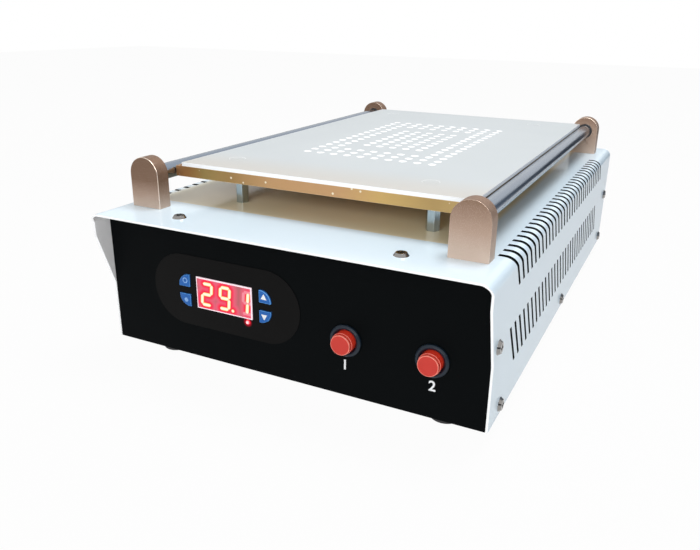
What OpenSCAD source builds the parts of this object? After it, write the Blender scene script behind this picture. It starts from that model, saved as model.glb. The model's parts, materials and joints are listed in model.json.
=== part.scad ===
// Vacuum hot plate for taking touch screens apart: a bent steel case with a
// heated suction plate on hexagon pillars and a guide roller along each side.
// Millimetres, +Z up, origin at the middle of the base on the floor plane,
// -Y is the front with the control panel.

/* [Case] */
// Width of the case across its two sides
body_w = 236; // [226:1:280]
// Depth of the cover from the front of the visor to its back edge
body_d = 372; // [350:1:420]
// Height of the cover above the underside of the case
body_h = 82.1; // [79:0.1:100]
// Thickness of the sheet steel
sheet_t = 1.2; // [0.8:0.1:1.6]
// Outside radius of the long bends of the cover
bend_r = 6; // [5:0.5:10]
// How far the front panel sits back from the front of the visor
panel_recess = 13.8; // [12:0.2:18]
// How far the rear panel sits inside the back edge of the cover
rear_recess = 4; // [4:0.1:8]
// Height at which the cheeks of the visor reach the front panel
knee_h = 35.6; // [33:0.2:42]
// How far the upright front edges of the cheeks sit behind the visor's edge
cheek_set = 2.4; // [0.4:0.2:4]
// Height of the upright front edge of a cheek below the top
cheek_lip = 13.5; // [12:0.5:20]
// Depth of the turned-in edges of the two panels
flange_d = 12; // [10:0.5:13]
// Height of the turned-up sides of the base tray
tray_side_h = 18; // [14:0.5:24]

/* [Vent slots] */
// Distance between two neighbouring vent slots
slot_pitch = 9; // [8:0.1:12]
// Width of a vent slot, measured square to it
slot_w = 2.9; // [1.5:0.1:3.5]
// Lean of the vent slots away from upright, in degrees
slot_lean = 32; // [0:1:38]
// Distance from the visor front to the first upper slot, on the top
slot_first = 39.5; // [38:0.5:44]
// Least distance from the last upper slot to the back edge of the cover
slot_back = 62; // [54:1:80]
// Length of the upper slots on the top surface, in from the side
slot_top_len = 9.4; // [8.5:0.1:12]
// Height of the lower end of the upper slots above the case underside
slot_up_low = 65.1; // [60:0.1:67]
// Height of the upper end of the lower slots
slot_low_top = 45.4; // [40:0.2:50]
// Height of the lower end of the lower slots
slot_low_low = 20.9; // [20:0.1:30]

/* [Posts and rollers] */
// Distance from a side of the case to the middle of a post
post_in = 19.9; // [19:0.1:24]
// Width of a post
post_w = 20.4; // [18:0.1:21]
// Thickness of a post
post_t = 9.4; // [8:0.1:12]
// Height of a post above the cover
post_h = 29.6; // [28:0.1:36]
// Distance from the front panel to the front posts
post_front = 11.7; // [11.4:0.1:15]
// Distance from the back edge of the cover to the rear posts
post_back = 21.1; // [17:0.1:30]
// Diameter of a guide roller
rod_d = 9.6; // [8.6:0.1:10.2]
// Diameter of the journals at the ends of a roller
journal_d = 8; // [6:0.1:8.4]

/* [Hot plate] */
// Gap between the folded tray and the guide roller on each side
roller_gap = 0.5; // [0.4:0.1:3]
// How much narrower the suction plate is than the tray
plate_less = 3.5; // [3.2:0.1:8]
// Thickness of the suction plate
plate_t = 2.2; // [2:0.1:3]
// Distance from the visor front to the plate
plate_front = 47.7; // [46:0.1:50]
// Distance from the plate to the back edge of the cover
plate_back = 31.3; // [26:0.1:46]
// Height of the walls of the folded tray under the plate
tray_h = 6.3; // [6:0.1:8]
// Length of the hexagon pillars
pillar_h = 15.5; // [14:0.5:20]
// Width of a pillar across two opposite flats
pillar_af = 7; // [6:0.1:8]
// Distance between the suction holes across the plate
hole_pitch_x = 9.6; // [9:0.1:10]
// Distance between the suction holes along the plate
hole_pitch_y = 10; // [9.5:0.1:10.5]
// Diameter of a suction hole at its flared mouth
hole_mouth_d = 5.2; // [3:0.1:6]
// Diameter of a suction hole below the flare
hole_d = 2.4; // [1.6:0.1:2.8]

/* [Controls] */
// Height of the middle of the display above the case underside
display_z = 41; // [38:0.2:44]
// Width of the display
display_w = 37.6; // [36:0.1:40]
// Height of the display
display_h = 19; // [18:0.1:20]
// Width of a key
key_w = 7.5; // [7:0.1:8.5]
// Height of a key
key_h = 7.3; // [6.6:0.1:8]
// Travel of a key
key_travel = 0.5; // [0.3:0.1:0.8]
// Diameter of a push button's collar
bezel_d = 17.8; // [17:0.1:20]
// Diameter of a push button's cap
cap_d = 11.9; // [11:0.1:12.4]
// How far a button cap stands out of the front panel
cap_out = 7; // [6:0.1:9]
// Travel of a push button
cap_travel = 3; // [2:0.1:3.5]

/* [Feet and screws] */
// Height of the rubber feet
foot_h = 9.4; // [6:0.2:14]
// Diameter of the rubber feet
foot_d = 19; // [16:0.5:22]
// Distance from a side of the case to the middle of a foot
foot_in = 28; // [20:1:40]
// Distance from the front and back edges of the cover to the middle of a foot
foot_along = 34; // [28:1:60]
// Diameter of the case screws' heads
screw_head_d = 8; // [7:0.1:9]
// Diameter of the case screws' shanks
screw_d = 4; // [3:0.1:4]

/* [Hidden] */
$fn = 48;

// Clearances: between fixed pieces, round running fits and free play round moving pieces
fit = 0.2;
run_fit = 0.06;
play = 0.3;
// Extra length of every cutting tool past the face that it opens
over = 1;

// Main planes of the case
front_y = -body_d / 2;
back_y = body_d / 2;
side_x = body_w / 2;
inner_x = side_x - sheet_t;
low_z = foot_h;
top_z = foot_h + body_h;
under_z = top_z - sheet_t;
floor_z = low_z + sheet_t;
panel_y = front_y + panel_recess;
rear_y = back_y - rear_recess;

// Screws: head height and the shank that holds below the sheet
head_h = 1.6;
shank_l = 6;
recess_d = 1.9;
recess_depth = 1;
head_top_share = 0.72;
screw_hole_d = screw_d + 2 * fit;

// Case screws: heights, and distances from the panels and from the middle
flange_screw_in = flange_d / 2;
low_screw_up = 5.8;
low_screw_z = low_z + low_screw_up;
low_screw_front = panel_y + flange_d + screw_head_d;
low_screw_along = 192.5;
low_screw_mid = front_y + low_screw_along;
side_screw_up = 44;
top_screw_back = 4;
top_screw_in = 50.6;
top_screw_x = side_x - top_screw_in;

// Share of the bend over which the front edge of a cheek slants out to the visor
cheek_share = 0.7;

// Vents in the bottom of the base tray
vent_n = 9;
vent_l = 50;
vent_step = 6.5;
vent_along = 76;

// Posts, bushes and rollers
post_x = side_x - post_in;
post_r = post_w / 2;
post_y0 = panel_y + post_front;
post_y1 = back_y - post_back;
arch_z = top_z + post_h - post_r;
rod_drop = 1;
rod_z = arch_z - rod_drop;
bush_rim = 0.8;
bush_d = rod_d + 2 * bush_rim;
bush_l = 6;
socket_depth = bush_l + fit;
step_gap = 0.5;
post_screw_d = 3;
post_screw_l = 12;
post_screw_share = 0.27;
post_screw_dx = post_w * post_screw_share;
post_grip = 9.6;

// Plate assembly: heights above the cover, from the pillars up
plate_y0 = front_y + plate_front;
plate_l = body_d - plate_front - plate_back;
plate_y = plate_y0 + plate_l / 2;
plate_x = 2.75;
tray_t = 1;
tray_w = 2 * (post_x - rod_d / 2 - roller_gap);
plate_w = tray_w - plate_less;
tray_z = top_z + pillar_h;
tray_top = tray_z + tray_h;
plate_z = tray_top;
plate_top = plate_z + plate_t;
tray_floor = tray_z + tray_t;
corner_gap = 1.4;

// Pillars and the screws at both of their ends
pillar_edge = 31.3;
pillar_x = tray_w / 2 - pillar_edge;
pillar_off = 4.2;
pillar_in = 17.3;
pillar_screw_d = 4;
pillar_head_d = 7;
pillar_head_h = 2;
pillar_grip = 5;
pillar_ys = [plate_y0 + pillar_in, plate_y0 + plate_l - pillar_in];

// Flush screws that hold the plate on its spacers
flush_edge = 27.75;
flush_x = plate_w / 2 - flush_edge;
flush_off = -2.9;
flush_in = 25.8;
flush_head_d = 9.6;
flush_head_h = 1.5;
flush_d = 3.4;
spacer_d = 8;
flush_ys = [plate_y0 + flush_in, plate_y0 + plate_l - flush_in];

// Suction holes: a ring of full rows and side columns round a middle block
field_side = 45;
field_end = 70;
field_cols = floor((plate_w - 2 * field_side) / hole_pitch_x) + 1;
field_rows = floor((plate_l - 2 * field_end) / hole_pitch_y) + 1;
band_rows = 3;
band_cols = 2;
block_cols = field_cols - 2 * band_cols - 1;
block_rows = field_rows - 2 * band_rows - 2;
field_x = 1.5;
field_off = 1.8;
field_y = plate_y - field_off;
mouth_depth = 1.1;

// Vacuum box, heater mat and felt between the tray and the plate
box_wall = 2.4;
box_margin = 7;
box_w = (field_cols - 1) * hole_pitch_x + 2 * box_margin;
box_l = (field_rows - 1) * hole_pitch_y + 2 * box_margin;
box_z = tray_floor + fit;
box_h = plate_z - fit - box_z;
box_floor = 1.2;
mat_t = 1.5;
felt_t = 2.6;
mat_gap = 3;
mat_edge = 11.4;
mat_x = tray_w / 2 - mat_edge;
mat_end = 12;
mat_notch = 14;
probe_l = 22;
mat_z = plate_z - fit - mat_t;

// Suction hose with its barbs, straight up from the pump to the vacuum box
barb_d = 4;
barb_bore = 2;
hose_d = 8;
hose_bore = barb_d + 2 * fit;
barb_l = 9;
hose_x = field_x;
hose_y = field_y;
hose_top = tray_z - fit;
grommet_wall = 2;
grommet_lip = 1.5;

// Leads, and the hole that the heater leads come down through
lead_d = 2.4;
lead_y = hose_y;
lead_hole_d = 12;
lead_bend_share = 0.55;

// Control panel: overlay, display, keys and indicator
overlay_t = 0.3;
overlay_r = 21.4;
overlay_l = 98.4;
screen_share = 0.307;
screen_x = -side_x * screen_share;
screen_z = low_z + display_z;
screen_out = 0.2;
face_t = 0.25;
face_rim = 0.8;
digit_t = 0.15;
digit_h = 14.8;
digit_w = 8.3;
digit_pitch = 12.25;
digit_off = 0.85;
seg_w = 2.1;
seg_gap = 0.1;
digit_lean = 0.09;
dot_d = 1.8;
key_side = 4.65;
key_off = 0.25;
key_between = 4.6;
key_dx = display_w / 2 + key_side + key_w / 2;
key_dz = (key_h + key_between) / 2;
key_corner_share = 0.92;
key_out = 0.6;
key_flange = 0.8;
key_flange_t = 1;
key_stem_d = 3.4;
led_d = 3;
led_out = 0.8;
led_in = 3.3;
led_below = 2;
led_dx = display_w / 2 - led_in;
led_dz = display_h / 2 + led_below;

// Controller board behind the panel, with its key switches and spacers
board_gap = 8;
board_t = 1.6;
board_w = 84;
board_h = 36;
board_y = panel_y + sheet_t + board_gap;
spacer_in = 4;
spacer_or = 2.5;
switch_w = 6;
switch_t = 3.6;
stem_in = 1.4;
switch_bore_depth = stem_in + key_travel + play;
chip_w = 14;
chip_t = 2;

// Push buttons, left and right on the panel
button_shares = [0.341, 0.744];
button_x = button_shares * side_x;
button_up = 32.3;
button_z = low_z + button_up;
bezel_out = 2;
bezel_chamfer = 0.8;
bezel_step = 1.1;
bezel_flare = 1;
barrel_d = bezel_d - 2 * bezel_step;
barrel_l = 16;
cup_d = cap_d + 2 * play;
cup_floor = 3;
nut_t = 3;
nut_rim = 0.5;
nut_af = bezel_d + 2 * nut_rim;
cap_rim = 0.3;
cap_groove = 0.5;
cap_groove_at = 1.5;
cap_in = 6;
cap_l = cap_out + cap_in;
plunger_d = 4;
plunger_l = 11;
contact_w = 13;
contact_l = 11;
tab_w = 4.8;
tab_t = 0.8;
tab_l = 6;
spring_od = 10.4;
spring_id = 7.6;
spring_l = barrel_l - cup_floor - cap_in - cap_travel - play;

// Vacuum pump on its bracket and rubber mounts
pump_w = 36;
pump_l = 34;
pump_h = 40;
pump_motor_d = 32;
pump_motor_l = 52;
motor_boss_d = 16;
motor_boss_l = 4;
motor_z = 20;
bracket_t = 2;
bracket_wall = 3;
mount_h = 6;
mount_d = 10;
mount_in = 8;
bracket_z = floor_z + mount_h;
bracket_x0 = hose_x - pump_w / 2 - motor_boss_l - pump_motor_l;
bracket_x1 = hose_x + pump_w / 2;
pump_z = bracket_z + bracket_t;
pump_top = pump_z + pump_h;
strap_w = 12;
cradle_share = 0.8;

// Power board with its transformer, relay and terminal block
power_w = 70;
power_l = 96;
power_t = 1.6;
power_gap = 7;
power_x = (field_x + box_w / 2 + mat_gap + mat_x) / 2;
power_back = 70;
power_y = rear_y - power_back;
power_in = 5;
power_z = floor_z + power_gap;
board_top = power_z + power_t;
core_w = 42;
core_l = 34;
core_h = 34;
coil_out = 7;
coil_h = 24;
relay_w = 20;
relay_l = 16;
relay_h = 16;
block_pitch = 5;
block_poles = 4;
block_w = block_poles * block_pitch;
block_l = 11;
block_h = 12;
pole_d = 3;
pole_depth = 5;
coil_in = 26;
coil_off = power_l / 2 - coil_in;
relay_off = 12;
relay_side = 18;
block_in = 12;
block_off = power_l / 2 - block_in;
coil_y = power_y + coil_off;
relay_x = power_x - relay_side;
relay_y = power_y - relay_off;
block_y = power_y - block_off;
lead_x = power_x;

// Levels at which the leads run across the case
heater_lane = board_top + block_h + lead_d;
mains_lane = heater_lane + 3 * lead_d;
switch_lane = mains_lane + 2 * lead_d;

// Mains inlet and its pins in the rear panel
inlet_in = 56;
inlet_x = inlet_in - side_x;
inlet_up = 32.6;
inlet_z = low_z + inlet_up;
inlet_flange_w = 50;
inlet_flange_h = 24;
inlet_flange_t = 2.6;
inlet_w = 28;
inlet_h = 20;
cavity_w = 24.4;
cavity_h = 16.4;
cavity_depth = 18;
inlet_floor = 2.4;
inlet_screw_dx = 20;
inlet_corner = 5;
inlet_screw_d = 3;
inlet_head_d = 5.6;
inlet_head_h = 1.4;
inlet_screw_l = 9;
pin_w = 2;
pin_h = 4;
pin_l = 12;
pin_dx = 7;
pin_dz = 2;
pin_tail = 8;

// Rocker switch beside the inlet
rocker_gap = 44;
rocker_x = inlet_x + rocker_gap;
rocker_w = 11;
rocker_h = 19;
rocker_depth = 9;
rocker_wall = 1.6;
rocker_lip = 1.6;
rocker_lip_t = 1.5;
rocker_tilt = 9;
rocker_dip = 0.4;
rocker_edge = 1.4;
rocker_back = 2;
rocker_keel = 6.2;
tab_dz = 5;
trunnion_d = 2.4;
pivot_out = 0.9;
pivot_y = rear_y + pivot_out;
pivot_z = inlet_z;

// Basic shapes

// The section of the cover in the XZ plane, drawn in from its outside by inset
module section(inset, foot) {
    r = bend_r - inset;
    w = side_x - inset;
    t = top_z - inset;
    translate([-w, foot]) square([2 * w, t - r - foot]);
    translate([r - w, foot]) square([2 * (w - r), t - foot]);
    for (s = [-1, 1])
        translate([s * (w - r), t - r]) circle(r = r);
}

// Extrude an outline drawn in X and Z backwards from y
module along_y(y, length) {
    translate([0, y + length, 0]) rotate([90, 0, 0]) linear_extrude(length) children();
}

// Extrude an outline drawn in Y and Z to the right from x
module along_x(x, length) {
    translate([x, 0, 0]) rotate([90, 0, 90]) linear_extrude(length) children();
}

// A round bar or bore pointing along +Y from the given point
module rod_y(p, d, length) {
    translate(p) rotate([-90, 0, 0]) cylinder(d = d, h = length);
}

// A round bar or bore pointing along +X from the given point
module rod_x(p, d, length) {
    translate(p) rotate([0, 90, 0]) cylinder(d = d, h = length);
}

// A pan-head screw with its shank along -Z, the head resting on the plane z = 0
module pan_screw(head, shank, length) {
    difference() {
        union() {
            cylinder(d1 = head, d2 = head * head_top_share, h = head_h);
            translate([0, 0, -length]) cylinder(d = shank, h = length);
        }
        for (a = [0, 90])
            rotate([0, 0, a])
                translate([-head / 4, -recess_d / 4, head_h - recess_depth])
                    cube([head / 2, recess_d / 2, recess_depth + over]);
    }
}

// A lead that runs through the points, with a ball at each bend
module lead(points, d) {
    for (i = [0 : len(points) - 2]) {
        v = points[i + 1] - points[i];
        l = norm(v);
        translate(points[i]) rotate([0, acos(v[2] / l), atan2(v[1], v[0])]) cylinder(d = d, h = l);
    }
    for (i = [1 : len(points) - 2])
        translate(points[i]) sphere(r = d * lead_bend_share);
}

// A rectangle with its middle at the origin
module plate_2d(w, h) {
    translate([-w / 2, -h / 2]) square([w, h]);
}

// Places of the screws through the sides of the case, as Y and Z
side_screws = [
    [panel_y + flange_screw_in, low_z + side_screw_up],
    [low_screw_front, low_screw_z],
    [low_screw_mid, low_screw_z],
    [rear_y - flange_screw_in, low_screw_z],
    [rear_y - flange_screw_in, low_z + side_screw_up]];
top_screw_ys = [panel_y + top_screw_back, rear_y - top_screw_back];

// Put the children at every side screw, turned to point outwards
module at_side_screws() {
    for (s = [-1, 1])
        for (p = side_screws)
            translate([s * side_x, p[0], p[1]]) rotate([0, s * 90, 0]) children();
}

// Put the children at the four screws through the top
module at_top_screws() {
    for (s = [-1, 1])
        for (y = top_screw_ys)
            translate([s * top_screw_x, y, top_z]) children();
}

// Put the children at the two screws under each post
module at_post_screws() {
    for (x = [-post_x, post_x])
        for (y = [post_y0 + post_t / 2, post_y1 - post_t / 2])
            for (s = [-1, 1])
                translate([x + s * post_screw_dx, y, top_z]) children();
}

// Put the children at the four pillars, on the top of the cover
module at_pillars() {
    for (s = [-1, 1])
        for (y = pillar_ys)
            translate([pillar_off + s * pillar_x, y, top_z]) children();
}

// Put the children at the four flush screws, on the top of the plate
module at_flush_screws() {
    for (s = [-1, 1])
        for (y = flush_ys)
            translate([flush_off + s * flush_x, y, plate_top]) children();
}

// Put the children at the four feet, on the underside of the case
foot_x = side_x - foot_in;
foot_ys = [front_y + foot_along, back_y - foot_along];
module at_feet() {
    for (x = [-foot_x, foot_x])
        for (y = foot_ys)
            translate([x, y, low_z]) children();
}

// Put the children at every suction hole, on the top of the plate
module at_holes() {
    for (c = [0 : field_cols - 1])
        for (r = [0 : field_rows - 1])
            if (r < band_rows || r >= field_rows - band_rows
                || c < band_cols || c >= field_cols - band_cols)
                translate([field_x + (c - (field_cols - 1) / 2) * hole_pitch_x,
                    field_y + (r - (field_rows - 1) / 2) * hole_pitch_y, plate_top]) children();
    for (c = [0 : block_cols - 1])
        for (r = [0 : block_rows - 1])
            translate([field_x + (c - (block_cols - 1) / 2) * hole_pitch_x,
                field_y + (r - (block_rows - 1) / 2) * hole_pitch_y, plate_top]) children();
}

// Cover and its vent slots

// One leaning slot, cut along X from x0 over the length, between two heights
module slot_cut(x0, length, y_top, z_top, z_low, z_ref) {
    lean = tan(slot_lean);
    w = slot_w / cos(slot_lean);
    y_high = y_top + lean * (z_ref - z_top);
    y_low = y_top + lean * (z_ref - z_low);
    along_x(x0, length)
        polygon([[y_low, z_low], [y_low + w, z_low], [y_high + w, z_top], [y_high, z_top]]);
}

module vent_slots() {
    upper = slot_top_len + over;
    lower = sheet_t + 2 * over;
    count = floor((body_d - slot_first - slot_back) / slot_pitch) + 1;
    for (i = [0 : count - 1]) {
        y = front_y + slot_first + i * slot_pitch;
        for (s = [0, 1]) mirror([s, 0, 0]) {
            slot_cut(side_x - slot_top_len, upper, y, top_z + over, low_z + slot_up_low, top_z);
            slot_cut(side_x - sheet_t - over, lower, y, low_z + slot_low_top, low_z + slot_low_low,
                low_z + slot_low_top);
        }
    }
}

module cover() {
    lip_z = top_z - cheek_lip;
    knee_y = panel_y - fit;
    rise = bend_r * cheek_share;
    color([0.91, 0.94, 0.95]) difference() {
        along_y(front_y, body_d) difference() {
            section(0, low_z);
            section(sheet_t, low_z - over);
        }
        along_x(-side_x - over, body_w + 2 * over)
            polygon([[front_y - over, low_z - over], [knee_y, low_z - over],
                [knee_y, low_z + knee_h], [front_y + cheek_set, lip_z],
                [front_y + cheek_set, top_z - bend_r], [front_y, top_z - bend_r + rise],
                [front_y - over, top_z - bend_r + rise]]);
        vent_slots();
        at_side_screws() translate([0, 0, -sheet_t - over])
            cylinder(d = screw_hole_d, h = sheet_t + 2 * over);
        at_top_screws() translate([0, 0, -sheet_t - over])
            cylinder(d = screw_hole_d, h = sheet_t + 2 * over);
        at_post_screws() translate([0, 0, -sheet_t - over])
            cylinder(d = post_screw_d + 2 * fit, h = sheet_t + 2 * over);
        at_pillars() translate([0, 0, -sheet_t - over])
            cylinder(d = pillar_screw_d + 2 * fit, h = sheet_t + 2 * over);
        translate([hose_x, hose_y, under_z - over])
            cylinder(d = hose_d + 2 * grommet_wall, h = sheet_t + 2 * over);
        translate([lead_x, lead_y, under_z - over]) cylinder(d = lead_hole_d, h = sheet_t + 2 * over);
    }
}

// A panel with turned-in edges: dir is 1 at the front and -1 at the back
module panel_pan(y, dir) {
    lift = sheet_t + fit;
    inset = sheet_t + fit;
    y_face = dir > 0 ? y : y - sheet_t;
    y_rim = dir > 0 ? y : y - flange_d;
    along_y(y_face, sheet_t) section(inset, low_z);
    along_y(y_rim, flange_d) difference() {
        section(inset, low_z + lift);
        section(inset + sheet_t, low_z + lift + sheet_t);
    }
}

// The holes of the side and top screws through the turned-in edges
module flange_holes() {
    reach = 2 * sheet_t + 2 * over;
    at_side_screws() translate([0, 0, -reach]) cylinder(d = screw_d + 2 * run_fit, h = reach);
    at_top_screws() translate([0, 0, -reach]) cylinder(d = screw_d + 2 * run_fit, h = reach);
}

module front_panel() {
    deep = sheet_t + 2 * over;
    color([0.08, 0.09, 0.1]) difference() {
        panel_pan(panel_y, 1);
        flange_holes();
        translate([screen_x, 0, screen_z]) {
            along_y(panel_y - over, deep) plate_2d(display_w + 2 * fit, display_h + 2 * fit);
            rod_y([led_dx, panel_y - over, -led_dz], led_d + 2 * fit, deep);
            at_keys() key_cut(deep);
        }
        for (x = button_x)
            rod_y([x, panel_y - over, button_z], barrel_d + 2 * fit, deep);
    }
}

module rear_panel() {
    deep = sheet_t + 2 * over;
    y = rear_y - sheet_t - over;
    color([0.91, 0.94, 0.95]) difference() {
        panel_pan(rear_y, -1);
        flange_holes();
        translate([inlet_x, 0, inlet_z]) {
            along_y(y, deep) plate_2d(inlet_w + 2 * fit, inlet_h + 2 * fit);
            for (s = [-1, 1])
                rod_y([s * inlet_screw_dx, y, 0], inlet_screw_d + 2 * run_fit, deep);
        }
        translate([rocker_x, 0, pivot_z])
            along_y(y, deep)
                plate_2d(rocker_w + 2 * (rocker_wall + play + fit),
                    rocker_h + 2 * (rocker_wall + play + fit));
    }
}

module base_tray() {
    gap = sheet_t + fit;
    y0 = panel_y + gap;
    y1 = rear_y - gap;
    wall_x = inner_x - fit;
    wall_y0 = panel_y + flange_d + fit;
    wall_y1 = rear_y - flange_d - fit;
    color([0.75, 0.77, 0.78]) difference() {
        union() {
            translate([-wall_x, y0, low_z]) cube([2 * wall_x, y1 - y0, sheet_t]);
            for (s = [0, 1]) mirror([s, 0, 0])
                translate([wall_x - sheet_t, wall_y0, low_z])
                    cube([sheet_t, wall_y1 - wall_y0, tray_side_h]);
        }
        at_side_screws() translate([0, 0, -2 * sheet_t - over])
            cylinder(d = screw_d + 2 * run_fit, h = 2 * sheet_t + over);
        at_feet() translate([0, 0, -over]) cylinder(d = screw_hole_d, h = sheet_t + 2 * over);
        for (i = [0 : vent_n - 1])
            translate([-vent_l / 2, y0 + vent_along + i * vent_step, low_z - over])
                cube([vent_l, slot_w, sheet_t + 2 * over]);
    }
}

module case_screws() {
    color([0.8, 0.82, 0.84]) {
        at_side_screws() pan_screw(screw_head_d, screw_d, shank_l);
        at_top_screws() pan_screw(screw_head_d, screw_d, shank_l);
    }
}

// Feet, hollow underneath for their screws
foot_well_share = 0.55;
foot_well = foot_h * foot_well_share;
foot_low_share = 0.9;
module feet() {
    color([0.07, 0.07, 0.08]) at_feet() difference() {
        translate([0, 0, -foot_h]) cylinder(d1 = foot_d * foot_low_share, d2 = foot_d, h = foot_h);
        translate([0, 0, -foot_h - over]) cylinder(d = screw_head_d + 2 * play, h = foot_well + over);
        translate([0, 0, -foot_h]) cylinder(d = screw_hole_d, h = foot_h + over);
    }
}

module foot_screws() {
    grip = foot_h - foot_well + sheet_t + shank_l / 2;
    color([0.8, 0.82, 0.84]) at_feet()
        translate([0, 0, -foot_h + foot_well]) mirror([0, 0, 1])
            pan_screw(screw_head_d, screw_d, grip);
}

// Posts and rollers

// One post: an arched block with a blind socket facing dir for the roller's bush
module post(x, y, dir) {
    face = dir > 0 ? y + post_t - socket_depth : y - over;
    screw_y = y + post_t / 2;
    color([0.78, 0.64, 0.56]) difference() {
        along_y(y, post_t) {
            translate([x - post_r, top_z]) square([post_w, arch_z - top_z]);
            translate([x, arch_z]) circle(r = post_r);
        }
        rod_y([x, face, rod_z], bush_d + 2 * run_fit, socket_depth + over);
        for (s = [-1, 1])
            translate([x + s * post_screw_dx, screw_y, top_z - over])
                cylinder(d = post_screw_d + 2 * run_fit, h = post_screw_l + over);
    }
}

module front_left_post() { post(-post_x, post_y0, 1); }
module front_right_post() { post(post_x, post_y0, 1); }
module rear_left_post() { post(-post_x, post_y1 - post_t, -1); }
module rear_right_post() { post(post_x, post_y1 - post_t, -1); }

module post_screws() {
    color([0.8, 0.82, 0.84]) at_post_screws()
        translate([0, 0, -sheet_t]) mirror([0, 0, 1])
            pan_screw(2 * post_screw_d, post_screw_d, post_grip);
}

module roller_bushes() {
    color([0.16, 0.16, 0.17])
        for (x = [-post_x, post_x])
            for (y = [post_y0 + post_t - bush_l, post_y1 - post_t])
                difference() {
                    rod_y([x, y, rod_z], bush_d, bush_l);
                    rod_y([x, y - over, rod_z], journal_d + 2 * run_fit, bush_l + 2 * over);
                }
}

module roller(x) {
    y0 = post_y0 + post_t + step_gap;
    y1 = post_y1 - post_t - step_gap;
    journal_l = bush_l + step_gap;
    color([0.62, 0.66, 0.72]) {
        rod_y([x, y0, rod_z], rod_d, y1 - y0);
        rod_y([x, y0 - journal_l, rod_z], journal_d, y1 - y0 + 2 * journal_l);
    }
}

module left_roller() { roller(-post_x); }
module right_roller() { roller(post_x); }

// Hot plate and what is under it

module suction_plate() {
    color([0.84, 0.86, 0.87]) difference() {
        translate([plate_x - plate_w / 2, plate_y0, plate_z]) cube([plate_w, plate_l, plate_t]);
        at_holes() {
            translate([0, 0, -plate_t - over]) cylinder(d = hole_d, h = plate_t + 2 * over);
            translate([0, 0, -mouth_depth]) cylinder(d1 = hole_d, d2 = hole_mouth_d, h = mouth_depth);
        }
        at_flush_screws() {
            translate([0, 0, -plate_t - over])
                cylinder(d = flush_d + 2 * fit, h = plate_t + 2 * over);
            translate([0, 0, -flush_head_h])
                cylinder(d1 = flush_d + 2 * fit, d2 = flush_head_d + 2 * fit, h = flush_head_h);
        }
    }
}

module plate_screws() {
    color([0.84, 0.86, 0.87]) at_flush_screws() {
        translate([0, 0, -flush_head_h]) cylinder(d1 = flush_d, d2 = flush_head_d, h = flush_head_h);
        translate([0, 0, -plate_t - tray_h + tray_t + over])
            cylinder(d = flush_d, h = plate_t + tray_h - tray_t - over - flush_head_h);
    }
}

module plate_spacers() {
    h = plate_z - tray_floor;
    color([0.8, 0.82, 0.84]) at_flush_screws()
        translate([0, 0, -plate_t - h]) difference() {
            cylinder(d = spacer_d, h = h);
            translate([0, 0, -over]) cylinder(d = flush_d + 2 * run_fit, h = h + 2 * over);
        }
}

// A folded tray whose four walls leave a slit at each corner
module plate_tray() {
    slit = corner_gap + tray_t;
    y1 = plate_y0 + plate_l;
    color([0.78, 0.6, 0.34]) difference() {
        translate([-tray_w / 2, plate_y0, tray_z]) cube([tray_w, plate_l, tray_h]);
        translate([tray_t - tray_w / 2, plate_y0 + tray_t, tray_floor])
            cube([tray_w - 2 * tray_t, plate_l - 2 * tray_t, tray_h]);
        for (s = [0, 1]) mirror([s, 0, 0])
            for (y = [plate_y0 + tray_t, y1 - slit])
                translate([tray_w / 2 - slit, y, tray_floor]) cube([slit + over, corner_gap, tray_h]);
        at_pillars() translate([0, 0, pillar_h - over])
            cylinder(d = pillar_screw_d + 2 * fit, h = tray_t + 2 * over);
        translate([hose_x, hose_y, tray_z - over])
            cylinder(d = barb_d + 2 * play, h = tray_t + 2 * over);
        translate([lead_x, lead_y, tray_z - over]) cylinder(d = lead_hole_d, h = tray_t + 2 * over);
    }
}

module pillars() {
    color([0.8, 0.84, 0.88]) at_pillars() difference() {
        cylinder(d = pillar_af / cos(30), h = pillar_h, $fn = 6);
        for (z = [-over, pillar_h - pillar_grip])
            translate([0, 0, z]) cylinder(d = pillar_screw_d + 2 * run_fit, h = pillar_grip + over);
    }
}

module pillar_screws() {
    grip = pillar_grip - 2 * fit;
    color([0.8, 0.82, 0.84]) at_pillars() {
        translate([0, 0, -sheet_t - pillar_head_h]) cylinder(d = pillar_head_d, h = pillar_head_h);
        translate([0, 0, -sheet_t]) cylinder(d = pillar_screw_d, h = sheet_t + grip);
        translate([0, 0, pillar_h + tray_t]) cylinder(d = pillar_head_d, h = pillar_head_h);
        translate([0, 0, pillar_h - grip]) cylinder(d = pillar_screw_d, h = tray_t + grip);
    }
}

module vacuum_box() {
    inner_w = box_w - 2 * box_wall;
    inner_l = box_l - 2 * box_wall;
    color([0.88, 0.87, 0.84]) translate([field_x, field_y, box_z]) difference() {
        union() {
            translate([-box_w / 2, -box_l / 2, 0]) cube([box_w, box_l, box_h]);
            translate([0, 0, -barb_l]) cylinder(d = barb_d, h = barb_l);
        }
        translate([-inner_w / 2, -inner_l / 2, box_floor]) cube([inner_w, inner_l, box_h]);
        translate([0, 0, -barb_l - over]) cylinder(d = barb_bore, h = barb_l + box_floor + 2 * over);
    }
}

// A frame of sheet material round the vacuum box, notched for screws and spacers
module round_the_box(z, t) {
    outer_l = plate_l - 2 * mat_end;
    difference() {
        translate([-mat_x, plate_y - outer_l / 2, z]) cube([2 * mat_x, outer_l, t]);
        translate([field_x - box_w / 2 - mat_gap, field_y - box_l / 2 - mat_gap, z - over])
            cube([box_w + 2 * mat_gap, box_l + 2 * mat_gap, t + 2 * over]);
        at_flush_screws() translate([0, 0, z - plate_top - over])
            cylinder(d = mat_notch, h = t + 2 * over);
        at_pillars() translate([0, 0, z - top_z - over]) cylinder(d = mat_notch, h = t + 2 * over);
    }
}

module heater_mat() { color([0.85, 0.35, 0.2]) round_the_box(mat_z, mat_t); }

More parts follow.
